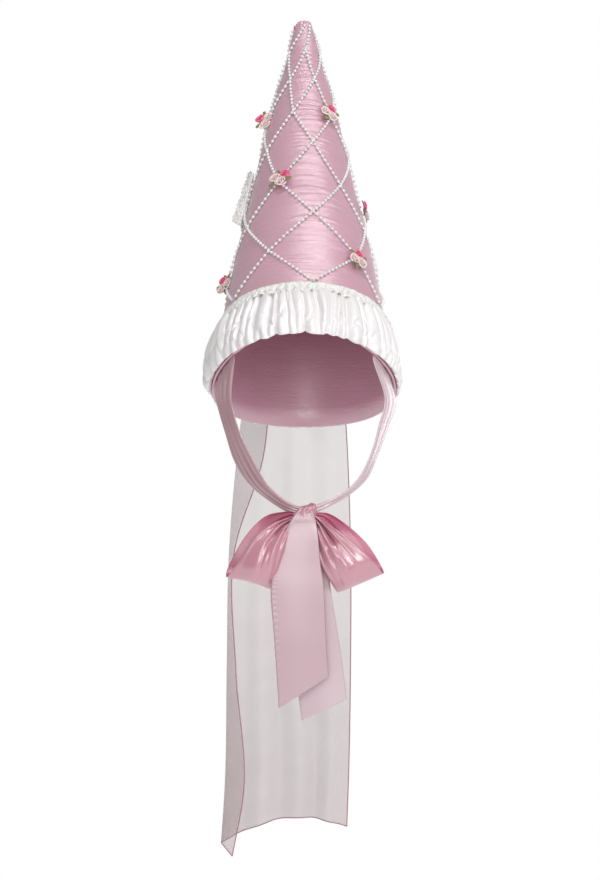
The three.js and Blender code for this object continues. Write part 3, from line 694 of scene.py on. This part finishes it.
def puff_coordinates(turn, share):
    """For each point: the number of its puff, the share it is across it, and the puff's width in degrees."""
    lines = fold_lines()
    count = len(lines)
    degrees = (np.degrees(turn) - BAND_START) % 360 + BAND_START + 0 * share
    along = down_the_band(turn, share)
    puff = np.zeros(degrees.shape, int)
    across, width = np.zeros(degrees.shape), np.ones(degrees.shape)
    for k in range(count):
        here, after = lines[k], lines[(k + 1) % count] + (0 if k + 1 < count else 360)
        left = here[0] + (here[1] - here[0]) * along
        right = after[0] + (after[1] - after[0]) * along
        for lap in (0, 360):
            inside = (degrees + lap >= left) & (degrees + lap < right)
            puff[inside] = k
            across[inside] = ((degrees + lap - left) / (right - left))[inside]
            width[inside] = (right - left)[inside]
    return puff, across, width


def band_relief(turn, share):
    """How deep the sharp folds cut into the band at each point, in millimetres."""
    degrees = np.degrees(turn) + 0 * share
    along = down_the_band(turn, share)
    deep = np.zeros(degrees.shape)
    for top, hem, start, stop, half, depth, bias in band_creases():
        away = wrap(degrees - (top + (hem - top) * along))
        near = np.abs(away) / (half * np.where(away > 0, 1 + bias, 1 - bias))
        fade = np.clip((share - start) / 0.22, 0, 1) * np.clip((stop - share) / 0.3, 0, 1)
        deep = deep + depth * fade * np.exp(-near ** 1.25) * (near < 6)
    return DEEPEST * np.tanh(deep * 1.3 / DEEPEST)


def ruffle_form(turn, share):
    """Height and stand of the band. share is 0 at its sewn top and 1 at its hem."""
    u = turn / (2 * np.pi)
    wander = turn + np.radians(1.2) * soft_noise(u * 40, share * 2.0, 3, period=40) * arch(share)
    puff, across, width = puff_coordinates(wander, share)
    caught = np.zeros(width.shape)
    for at, lift in nip_places():
        away = np.abs(wrap(np.degrees(turn) - at))
        caught = np.maximum(caught, lift * np.exp(-away / 1.7))
    full = np.random.default_rng(4).uniform(0.6, 1.25, 200)[puff]
    lean = np.random.default_rng(5).uniform(-0.9, 0.9, 200)[puff]
    bent = np.clip(across + lean * across * (1 - across), 0, 1)
    round_ = arch(bent) ** 0.8
    tall = np.minimum(0.44 * width, 4.4) * full
    middle = arch(np.clip(0.08 + 0.80 * share, 0, 1)) ** 0.7
    swell = smooth_table(BAND_SWELL, 1, share)
    stand = swell + tall * round_ * middle - band_relief(wander, share) * (0.35 + 0.65 * middle)
    stand = stand + 1.1 * soft_noise(u * 30, share * 1.5, 9, period=30) * middle
    stand = stand - 0.7 * caught * bell((1 - share) / 0.13)
    nape = RUFFLE_NAPE_RISE * np.maximum(-np.cos(turn), 0)
    hem = RUFFLE_HEM - RUFFLE_DIP * np.sin(turn) ** 2 + nape - 1.6
    hem = hem + 1.5 * caught - 0.4 * tall * round_ + 0.5 * soft_noise(u * 50, 0.5, 23, period=50)
    return RUFFLE_TOP + (hem - RUFFLE_TOP) * share, np.maximum(stand, 0.8)


def ruffle_piece():
    """The band: its puffed front, the hem turned under in a round fold, and the plain back."""
    columns = 1240
    share, turn = ring_grid(50, columns)
    height, stand = ruffle_form(turn, share ** 0.92)
    bend = np.linspace(0, 1, 9)[1:, None]
    under_height = height[-1:] - 1.0 * arch(bend) + 3.0 * bend ** 2
    under_stand = stand[-1:] + (0.5 - stand[-1:]) * bend
    rise = np.linspace(0, 1, 4)[1:, None]
    back_height = under_height[-1:] + (RUFFLE_TOP - under_height[-1:]) * rise
    cloth = Cloth()
    ring = np.arange(columns)
    ends = []
    for high, out, length in ((height, stand, 62), (under_height, under_stand, 6), (back_height, 0.45, 50)):
        first = cloth.add(worn(on_cone(high, turn, out)), (BAND_LENGTH, length), ring=True)
        ends.append((first + ring, cloth.count - columns + ring))
    front, under, back = ends
    cloth.stitch(under[0], front[1], closed=True)
    cloth.stitch(back[0], under[1], closed=True)
    cloth.stitch(front[0], back[1], closed=True)
    piece = cloth.build("gathered_band")
    place_piece(piece, [WHITE_SATIN], ["ruffle"])


LACE_TOP, LACE_LENGTH, LACE_WALL = 66.4, 11.6, 0.5


def lace_edging_piece():
    """The gathered lace over the band's top: a picot edge above and loose scallops below."""
    share, turn = ring_grid(14, 1500)
    u = turn / (2 * np.pi)
    picot = np.abs(np.sin(np.pi * u * 250))
    scallop = np.abs(arch(u * 92 + 0.4 * soft_noise(u * 30, 0, 12, period=30))) ** 0.7
    frill = np.sin(2 * np.pi * (u * 62 + 0.8 * soft_noise(u * 41, share * 1.6, 13, period=41)))
    loose = 0.55 + 0.75 * np.abs(soft_noise(u * 23, 0.4, 15, period=23))
    top = LACE_TOP + 0.9 * picot + 0.5 * soft_noise(u * 60, 3, 16, period=60)
    points = 0.9 * np.abs(np.sin(np.pi * u * 311))
    length = LACE_LENGTH + 1.8 * scallop + points + 2.4 * soft_noise(u * 37, 0, 14, period=37)
    stand = 0.8 + 0.35 * picot * (1 - share) ** 4 + 3.2 * share ** 1.1
    stand = stand + (0.3 + 1.5 * share ** 1.3) * frill * loose + 0.5 * scallop * share ** 6
    middle = worn(on_cone(top - length * share, turn, np.maximum(stand, 0.7)))
    piece = sheet_piece("lace_header", middle, LACE_WALL, (840, 15), ring=True)
    place_piece(piece, [WHITE_LACE], ["lace_edging"])


LACE_LOW, LACE_HIGH = 185, 249
LACE_LIP = 0.62  # the share across the lace ribbon where it leaves the cone


def lace_ribbon_piece():
    """It lies on the strings, and its front edge stands straight out."""
    share, across = share_grid(130, 40)
    height = LACE_LOW + (LACE_HIGH - LACE_LOW) * share
    scallop = 1.6 * np.abs(np.sin(np.pi * share * 13))
    lip = np.clip((across - LACE_LIP) / (1 - LACE_LIP), 0, 1)
    turn = np.radians(-121 + 33 * np.minimum(across / LACE_LIP, 1) + 4 * lip ** 2)
    ends = np.clip(np.minimum(share, 1 - share) / 0.1, 0, 1) ** 0.5
    stand = 3.2 + lip * (4.5 + 4.5 * (1 - share)) * (0.6 + 0.4 * ends) + lip * scallop
    stand = stand + 0.5 * np.sin(share * 21) * lip
    piece = sheet_piece("lace_trim", worn(on_cone(height, turn, stand)), 0.6, (38, 66))
    place_piece(piece, [SILVER_LACE], ["lace_ribbon"])


# ---- ribbon roses ----

SEAT_STAND = 3.4  # how far a cluster's foot is from the cone
ROSE_TURNS = 3.3
ROSE_PLACES = [("pink", 4.6, 4.6, 4.7), ("pale", 1.3, -4.7, 5.3), ("pale", -5.4, 1.6, 5.3)]  # x, y, size
LEAF_PLACES = [(-10, 12.0), (105, 11.5), (218, 12.5)]  # the way it points in degrees, and its reach


def seat_of(cluster):
    """Where a cluster is sewn, and its own directions: aside, up the cone, and out."""
    ring, place, up, round_, spin, lean = cluster
    height = CROSSINGS[ring][0] + up
    turn = math.radians(CROSSINGS[ring][1][place] + round_)
    seat = on_cone(height, turn, SEAT_STAND)
    rise = on_cone(height + 5, turn, SEAT_STAND) - seat
    rise /= np.linalg.norm(rise)
    aside = np.array([math.cos(turn), math.sin(turn), 0])
    out = np.cross(aside, rise)
    out /= np.linalg.norm(out)
    rise = np.cross(out, aside)
    c, s = math.cos(math.radians(lean)), math.sin(math.radians(lean))
    aside, out = aside * c + out * s, out * c - aside * s
    c, s = math.cos(math.radians(spin)), math.sin(math.radians(spin))
    return seat, np.stack([aside * c + rise * s, rise * c - aside * s, out])


def rolled_rose(cloth, origin, axes, size, seed):
    """A ribbon rolled into a rose: a tight spiral in the middle and wider, looser turns outside."""
    rng = np.random.default_rng(seed)
    v, t = share_grid(7, 96)
    angle = t * 2 * np.pi * ROSE_TURNS + rng.uniform(0, 6.28)
    petal = 0.16 * np.cos(angle * 2.5 + rng.uniform(0, 6)) * t
    radius = size * (0.08 + 0.82 * t ** 0.85) * (1 + petal)
    flare = size * 0.26 * t * v ** 2
    rim = size * (0.72 - 0.30 * t ** 1.5 + 0.06 * np.sin(angle * 2.5))
    curl = size * 0.16 * t * v ** 6
    r = radius + flare + curl
    z = rim * (v ** 0.8) - curl * 1.1 * v ** 4
    local = np.stack([r * np.cos(angle), r * np.sin(angle), z + 0 * t], -1)
    cloth.sheet(origin + local @ axes, 0.44, (90, 9))


def ribbon_leaf(cloth, origin, axes, towards, reach, rise):
    """A short ribbon folded into a leaf loop, with square-cut ends."""
    along = np.linspace(0, 1, 14)[:, None]
    across = np.linspace(-1, 1, 5)[None, :]
    way = np.array([math.cos(towards), math.sin(towards)])
    side = np.array([-way[1], way[0]])
    width = 1.9 * (0.75 + 0.25 * arch(along))
    x = 1.0 + reach * along
    z = rise * np.sin(np.pi * along * 0.75) + 0.5 - 0.45 * (1 - across ** 2) * along
    flat = x[..., None] * way + (width * across)[..., None] * side
    rows = origin + np.concatenate([flat, (z + 0 * across)[..., None]], -1) @ axes
    cloth.sheet(rows, 0.5, (4, reach))


def rose_pieces():
    heaps = {"pale": Cloth(), "pink": Cloth(), "leaf": Cloth()}
    for k, cluster in enumerate(CLUSTERS):
        seat, axes = seat_of(cluster)
        place = lambda x, y, z: worn(seat + np.array([x, y, z]) @ axes)
        turned = np.stack([worn(axis) for axis in axes])
        for m, (kind, x, y, size) in enumerate(ROSE_PLACES):
            rolled_rose(heaps[kind], place(x, y, 1.4), turned, size, 40 * k + m)
        for towards, reach in LEAF_PLACES:
            ribbon_leaf(heaps["leaf"], place(0, 0, 0.4), turned, math.radians(towards), reach, 1.6)
    numbers = range(1, len(CLUSTERS) + 1)
    for kind, name, finish, slot, node_name in (
            ("pale", "pale_roses", PALE_PETAL, "pale_rose", "pale_roses"),
            ("pink", "pink_roses", PINK_PETAL, "pink_rose", "pink_rose"),
            ("leaf", "rose_leaves", LEAF_SATIN, "leaf", "leaves")):
        place_piece(heaps[kind].build(name), [finish], [f"{node_name}_{k}" for k in numbers])


# ---- the ribbons ----

RIBBON_WALL, RIBBON_WIDTH = 0.7, 52
STRAP_LENGTH, BOW_LENGTH = 215, 190
STRAP_TURNS = (50, 86)  # where its edges are sewn in, in degrees from the front
STRAP_TOP = 13  # how far up inside the rim


def ribbon_rows(edges, steps, columns):
    """A grid between two edges of a ribbon, and its shares along (t, for rows) and across (u, for columns)."""
    t, u = share_grid(steps, columns)
    a, b = (spline(edge, t[:, 0])[:, None, :] for edge in zip(*edges))
    return a * (1 - u[..., None]) + b * u[..., None], t, u


RIGHT_STRAP = [  # front edge, back edge
    ((-71, -50, -17.5), (-86.5, -8, -22)), ((-63, -54, -49), (-78.5, -14, -49)),
    ((-50, -60, -76.5), (-69.5, -22, -77)), ((-36, -67, -100), (-57, -34, -97)),
    ((-21, -72, -113.5), (-40, -48, -112)), ((-8, -75, -121), (-19, -64, -126)),
    ((0, -75, -122), (0, -68, -129)),
]
LEFT_STRAP = [
    ((79, -50, -15.5), (91.5, -6, -22)), ((73.5, -54, -42), (82.5, -14, -45)),
    ((66.5, -60, -67), (72, -22, -69)), ((55.5, -66, -90.5), (61.5, -36, -92.5)),
    ((40, -71, -107), (44.5, -52, -106.5)), ((18, -74, -118), (22, -66, -122)),
    ((8, -75, -122), (8, -68, -129)),
]


def strap_piece(name, edges, side, pleats, finish, node_name):
    """A ribbon from inside the rim to the knot, pleated lengthwise, with its front edge rolled."""
    inside = -(CONE_WALL + 1.2)
    rim = -SIDE_DIP - 2
    at_rim = [tuple(worn(on_cone(h, side * math.radians(turn), inside)) for turn in STRAP_TURNS)
              for h in (STRAP_TOP, (STRAP_TOP + rim) / 2, rim)]
    rows, t, u = ribbon_rows(at_rim + edges, 150, 64)
    pleat = 1.2 * np.abs(arch(pleats * u + 0.5 * t + 0.2 * soft_noise(u * 2, t * 5, 51))) ** 0.8
    pleat = pleat * (0.5 + 0.8 * np.clip(t * 1.5, 0, 1)) * np.clip(np.minimum(u, 1 - u) / 0.1, 0, 1)
    rolled = 1.3 * bell((u - 0.045) / 0.035)
    bulge = (3.0 * arch(u) + pleat + rolled)[..., None] * side
    piece = sheet_piece(name, rows + normals(rows, False) * bulge, RIBBON_WALL, (RIBBON_WIDTH, STRAP_LENGTH))
    place_piece(piece, [finish], [node_name])


RIGHT_LOOP = [  # outer edge, inner edge
    ((0, -76, -129), (0, -77, -134)), ((-17, -82, -134), (-7, -82, -142)),
    ((-33, -91, -140), (-13, -88, -153)), ((-50, -95, -153), (-17, -91, -171)),
    ((-64, -95, -176), (-21, -90, -190)), ((-75, -80, -190), (-24, -80, -202)),
    ((-74, -68, -180), (-23, -72, -192)), ((-58, -60, -152), (-18, -66, -171)),
    ((-38, -60, -132), (-12, -66, -151)), ((-17, -70, -127), (-8, -72, -138)),
    ((0, -73, -128), (0, -73, -134)),
]
LEFT_LOOP = [
    ((8, -76, -129), (6, -77, -134)), ((20, -82, -137), (10, -82, -144)),
    ((34, -91, -146), (12, -88, -160)), ((51, -95, -158.5), (16, -91, -177)),
    ((66, -95, -173), (25, -90, -193)), ((78, -80, -189), (32.5, -80, -205.5)),
    ((75, -68, -179), (30, -72, -196)), ((62, -60, -159), (24, -66, -178)),
    ((44, -60, -142), (18, -66, -158)), ((25, -69, -129.5), (14, -72, -141)),
    ((8, -73, -128), (8, -73, -134)),
]
RIGHT_LOOP_FOLDS = [  # lines from (along, across) to (along, across), half width, rise
    (0.03, 0.30, 0.32, 0.48, 0.05, -4.6), (0.03, 0.56, 0.22, 0.86, 0.05, -4.0),
    (0.03, 0.43, 0.40, 0.62, 0.06, 3.6), (0.05, 0.72, 0.44, 0.82, 0.08, 4.0),
    (0.03, 0.14, 0.26, 0.20, 0.045, -2.8), (0.10, 0.05, 0.46, 0.05, 0.04, 1.6),
    (0.24, 0.50, 0.46, 0.44, 0.06, 1.8), (0.03, 0.22, 0.34, 0.32, 0.045, 2.2),
    (0.12, 0.96, 0.48, 0.96, 0.04, 2.2), (0.22, 0.58, 0.47, 0.74, 0.09, 3.6),
    (0.28, 0.40, 0.47, 0.50, 0.06, -2.2),
]
LEFT_LOOP_FOLDS = [
    (0.03, 0.32, 0.36, 0.46, 0.06, -4.6), (0.04, 0.66, 0.24, 0.90, 0.05, -3.0),
    (0.03, 0.46, 0.40, 0.60, 0.07, 3.8), (0.12, 0.74, 0.47, 0.76, 0.10, 4.0),
    (0.03, 0.18, 0.40, 0.26, 0.05, 3.0), (0.10, 0.05, 0.46, 0.05, 0.04, 1.4),
    (0.12, 0.96, 0.48, 0.96, 0.04, 2.0), (0.26, 0.40, 0.47, 0.62, 0.10, 3.6),
    (0.26, 0.62, 0.46, 0.84, 0.06, -2.2),
]


def loop_piece(name, edges, folds, side, node_name):
    """A loop of the bow: out in front, round its outer end, and back behind."""
    steps = 220
    rows, t, u = ribbon_rows(edges, steps, 72)
    behind = 0.9 * bell((1 - t) / 0.2) * np.abs(arch(3.5 * u + 0.7 * t))
    swell = 9.0 * arch(u) * arch(np.minimum(2 * t, 1) ** 2.6) ** 0.8
    soft = 2.2 * soft_noise(u * 2.2, t * 8, 41 + side) * arch(t) ** 0.7
    bulge = 1.1 * line_folds(t, u, folds) + swell + soft - 2.0 * behind * np.clip((1 - t) * 30, 0, 1)
    bulge = bulge[..., None]
    out = normals(rows, False)
    if out[steps // 4, :, 1].mean() > 0:  # the satin face is the one turned to the front
        rows, bulge = rows[:, ::-1], bulge[:, ::-1]
        out = -out[:, ::-1]
    piece = sheet_piece(name, rows + out * bulge, RIBBON_WALL, (RIBBON_WIDTH, BOW_LENGTH), two_sided=True)
    # the satin face takes the deeper copy and the reverse a deep pink: painted shade of the loop's folds and
    # of the pocket inside it
    place_piece(piece, [SHADE_PAINTED_LOOP, SHADE_PAINTED_REVERSE], [node_name])


FRONT_TAIL = [
    ((-4, -82, -124), (8, -82, -124)), ((-9.5, -86.5, -131), (9.8, -86.5, -131)),
    ((-14.6, -91, -138.5), (11.8, -91, -138.5)), ((-20.8, -93.2, -152), (13.6, -93.2, -151)),
    ((-27.6, -94.5, -176), (15.8, -94.5, -176)),
    ((-32.5, -96, -204), (19.5, -96, -204)), ((-29, -96.5, -252), (21.5, -96, -252)),
    ((-24.7, -94, -318), (24, -94, -287)),
]
BACK_TAIL = [
    ((-4, -75, -134), (11, -75, -134)), ((-14, -77, -156), (13, -77, -156)),
    ((-22, -78, -182), (23, -79, -182)), ((-20, -78, -210), (27, -80, -210)),
    ((-13, -77, -256), (34.5, -80, -256)), ((-2, -76, -331.5), (42, -80, -310)),
]


TAIL_FOLDS = [  # near the knot, as in the tables of the loops
    (0.03, 0.12, 0.30, 0.05, 0.07, 1.8), (0.03, 0.90, 0.26, 0.95, 0.06, 1.2),
    (0.0, 0.34, 0.17, 0.26, 0.06, -1.5), (0.0, 0.50, 0.20, 0.47, 0.06, 1.2),
    (0.0, 0.66, 0.14, 0.72, 0.05, -1.3),
]


def tail_piece(name, edges, node_name, puckers, finish):
    """A hanging end of the bow, with a puckered seam along one edge."""
    rows, t, u = ribbon_rows(edges, 300, 30)
    seam = puckers * 0.28 * bell(u / 0.07) * np.sin(2 * np.pi * t * 56) * np.clip(t * 3 - 0.6, 0, 1)
    soft = 1.2 * soft_noise(u * 2.2, t * 3.3, 21) * arch(np.clip(t * 1.2, 0, 1))
    bulge = 2.2 * arch(u) + seam + soft + line_folds(t, u, TAIL_FOLDS)
    out = normals(rows, False)
    rows = rows - out * bulge[..., None] * np.sign(out[..., 1:2].mean())
    piece = sheet_piece(name, rows, RIBBON_WALL, (RIBBON_WIDTH, BOW_LENGTH))
    place_piece(piece, [finish], [node_name])


KNOT_CENTRE = np.array([2.0, -75.0, -126.5])


def knot_piece():
    """The ribbon wound round the middle of the bow, pleated across."""
    columns = 144
    _, turn = ring_grid(1, columns)
    share = np.sin(np.linspace(-1, 1, 44) * np.pi / 2)[:, None] * 0.998
    bow = (1 - np.abs(share) ** 6) ** 0.4
    pleats = 1.5 * np.abs(np.sin(4.5 * turn + 0.7 * share + 0.5)) ** 0.8
    pleats = pleats + 0.25 * np.sin(13 * turn - 2 * share)
    x = KNOT_CENTRE[0] - 3.0 * share + (8.8 + 2.4 * share + pleats) * np.sin(turn) * bow
    y = KNOT_CENTRE[1] - (11.5 + pleats) * np.cos(turn) * bow
    z = KNOT_CENTRE[2] - 6.8 * share + 1.4 * np.maximum(np.cos(turn), 0) * share - 1.2 * np.sin(turn) * share
    cloth = Cloth()
    first = cloth.add(np.stack([x, y, z], -1), (60, 22), ring=True, close=KNOT_CENTRE + (-3, 0, -6.8))
    cloth.fan(KNOT_CENTRE + (3, 0, 6), list(range(first, first + columns)), flip=True)
    # the knot takes the deeper copy of the satin, painted shade
    place_piece(cloth.build("knot_wrap"), [SHADE_PAINTED_LOOP], ["knot"])


# ---- the veil ----

VEIL = [  # -z, left, right, flap, fold
    (-362, -15, 13, 3, 1), (-230, -31, 25, 8, 4), (-60, -54, 38, 18, 8), (77, -71.5, 47, 28, 11),
    (174, -79.5, 50, 6, 13), (300, -82, 50, 10, 14), (423, -84, 48, 20, 15), (485, -88, 46, 12, 15),
]
VEIL_TOP, VEIL_LOW = VEIL[0][0], VEIL[-1][0]
VEIL_DEPTH, VEIL_WALL, HEM_RADIUS = 223, 0.3, 0.55
VEIL_WRAP = (435, -72, -236, 1.6)  # round the tip: height, turns in degrees from and to, stand
VEIL_HEM_RISE, VEIL_CORNER_DROP = 26, 14


def veil_rows():
    """A grid of the veil: wrapped round the tip, then hanging in folds, with one side turned back."""
    rows, flap_columns, columns = 190, 22, 110
    down = np.linspace(VEIL_TOP, VEIL_LOW, rows)[:, None]
    left, right, flap, fold = (smooth_table(VEIL, k, down) for k in range(1, 5))
    j = np.arange(columns)[None, :]
    on_flap = j < flap_columns
    u = np.where(on_flap, 1 - j / flap_columns, (j - flap_columns) / (columns - 1 - flap_columns))
    x = np.where(on_flap, left + flap * u, left + (right - left) * u)
    share = np.clip((down - VEIL_TOP) / (VEIL_LOW - VEIL_TOP), 0, 1)
    phase = 3.5 * u + 0.25 * soft_noise(u * 3, share * 3, 31) * arch(u)
    folds = fold * arch(phase) ** 2 + 1.2 * soft_noise(u * 12, share * 5, 32) * share
    wave = np.where(on_flap, -(2 + 4 * u) * np.minimum(u * 6, 1), folds * np.minimum(u * 8, 1))
    hem = np.where(on_flap, -VEIL_CORNER_DROP * u, VEIL_HEM_RISE * np.sin(np.pi * u * 0.8))
    z = -down + hem * np.clip((share - 0.55) / 0.45, 0, 1) ** 2
    hanging = np.stack([x, VEIL_DEPTH + wave, z + 0 * x], -1)
    height, start, end, stand = VEIL_WRAP
    turn = np.radians(start + (end - start) * np.linspace(0, 1, columns))[None, :]
    steps = np.linspace(0, 1, 10, endpoint=False)[:, None, None]
    top = worn(on_cone(height, turn, stand)) * (1 - steps) + hanging[:1] * steps
    return np.vstack([top, hanging])


def veil_pieces():
    rows = veil_rows()
    piece = sheet_piece("organza_veil", rows, VEIL_WALL, (150, 860))
    place_piece(piece, [ORGANZA], ["veil"])
    hem = edge_roll("veil_hem", [rows[-1], rows[:, 0], rows[:, -1]], HEM_RADIUS)
    place_piece(hem, [VEIL_HEM])


def edge_roll(name, lines, radius):
    """A narrow rolled hem along edges of a sheet."""
    cloth, sides = Cloth(), 6
    for line in lines:
        along = np.gradient(line, axis=0)
        along /= np.linalg.norm(along, axis=1, keepdims=True)
        side = np.cross(along, [0.0, 1.0, 0.0])
        side /= np.maximum(np.linalg.norm(side, axis=1, keepdims=True), 1e-6)
        out = np.cross(side, along)
        turn = np.linspace(0, 2 * np.pi, sides, endpoint=False)
        rows = line[:, None] + radius * (side[:, None] * np.cos(turn)[None, :, None]
                                         + out[:, None] * np.sin(turn)[None, :, None])
        first = cloth.add(rows, (4, 400), ring=True)
        cloth.face(list(range(first, first + sides)))
        cloth.face(list(range(cloth.count - sides, cloth.count))[::-1])
    return cloth.build(name)


# ---- the studio ----

SENSOR = 36
VIEW_DISTANCE, PICTURE_HEIGHT = 3500, 880  # millimetres, and pixels of one millimetre each at the head
FLOOR = -0.53  # the floor's height in metres, below the veil


def camera():
    """The photograph's view: level, with one millimetre at the head as one pixel."""
    data = bpy.data.cameras.new("camera")
    data.lens = SENSOR * VIEW_DISTANCE / PICTURE_HEIGHT
    data.clip_end = 20
    view = in_scene("camera", data)
    view.location = (-0.004, -VIEW_DISTANCE * MM, -0.057)
    view.rotation_euler = (math.pi / 2, 0, 0)
    bpy.context.scene.camera = view


def light(name, place, aim, size, power):
    data = bpy.data.lights.new(name, "AREA")
    data.shape = "RECTANGLE"
    data.size, data.size_y = size
    data.energy = power
    lamp = in_scene(name, data)
    lamp.location = place
    lamp.visible_camera = False
    away = np.array(place, float) - np.array(aim, float)
    yaw = math.atan2(away[0], -away[1])
    pitch = math.atan2(math.hypot(away[0], away[1]), away[2])
    lamp.rotation_euler = (pitch, 0, yaw)


def white_room():
    """White to the camera, and much dimmer as a light and in reflections."""
    world = bpy.data.worlds.new("white room")
    world.use_nodes = True
    tree = world.node_tree
    ray = node(tree, "ShaderNodeLightPath").outputs
    seen = node(tree, "ShaderNodeMapRange", {"Value": ray["Is Camera Ray"], "To Min": 0.3, "To Max": 1.0})
    strength = calculate(tree, "MULTIPLY_ADD", ray["Is Glossy Ray"], 0.12, seen.outputs["Result"])
    feed(tree, tree.nodes["Background"], {"Strength": strength, "Color": (1, 1, 1, 1)})
    bpy.context.scene.world = world


def floor():
    """As bright as the room behind it, so its edge doesn't show."""
    mesh = bpy.data.meshes.new("floor")
    count, radius = 64, 2.2
    angles = [math.tau * k / count for k in range(count)]
    mesh.from_pydata([(radius * math.cos(a), radius * math.sin(a), FLOOR) for a in angles], [],
                     [tuple(range(count))])
    pale = bpy.data.materials.new("pale floor")
    pale.use_nodes = True
    feed(pale.node_tree, pale.node_tree.nodes["Principled BSDF"], {
        "Base Color": (0, 0, 0, 1), "Specular IOR Level": 0,
        "Emission Color": (1, 1, 1, 1), "Emission Strength": 1.0,
    })
    mesh.materials.append(pale)
    in_scene("floor", mesh)


def studio():
    camera()
    light("front", (-0.2, -3.1, 0.75), (0, 0, -0.05), (1.5, 1.5), 26)
    light("key", (1.7, -2.3, 1.0), (0, 0, 0.0), (0.9, 1.3), 27)
    light("top", (0.5, -0.75, 2.9), (0, 0, 0.1), (2.4, 0.9), 32)
    light("near top", (0.12, -0.25, 1.25), (0, -0.05, 0.08), (0.9, 0.3), 1.2)
    light("rim", (1.5, 1.9, -0.05), (0, 0, -0.1), (0.9, 0.9), 9)
    white_room()
    bpy.context.scene.view_settings.view_transform = "Standard"
    floor()


studio()
cone_piece()
beads_piece()
ruffle_piece()
lace_edging_piece()
lace_ribbon_piece()
rose_pieces()
knot_piece()
# the wearer's right strap takes the darker copy of the satin, painted shade
strap_piece("right_chin_ribbon", RIGHT_STRAP, -1, 4, SHADE_PAINTED_STRAP, "right_strap")
# the wearer's left strap takes the lighter copy of the satin, painted light
strap_piece("left_chin_ribbon", LEFT_STRAP, 1, 2, LIGHT_PAINTED_RIBBON, "left_strap")
loop_piece("right_loop", RIGHT_LOOP, RIGHT_LOOP_FOLDS, -1, "right_bow_loop")
loop_piece("left_loop", LEFT_LOOP, LEFT_LOOP_FOLDS, 1, "left_bow_loop")
tail_piece("front_ribbon_tail", FRONT_TAIL, "front_tail", 1.0, RIBBON_SATIN)
# the back tail takes the lighter copy of the satin, painted light
tail_piece("back_ribbon_tail", BACK_TAIL, "back_tail", 0.6, LIGHT_PAINTED_RIBBON)
veil_pieces()

bpy.context.view_layer.update()
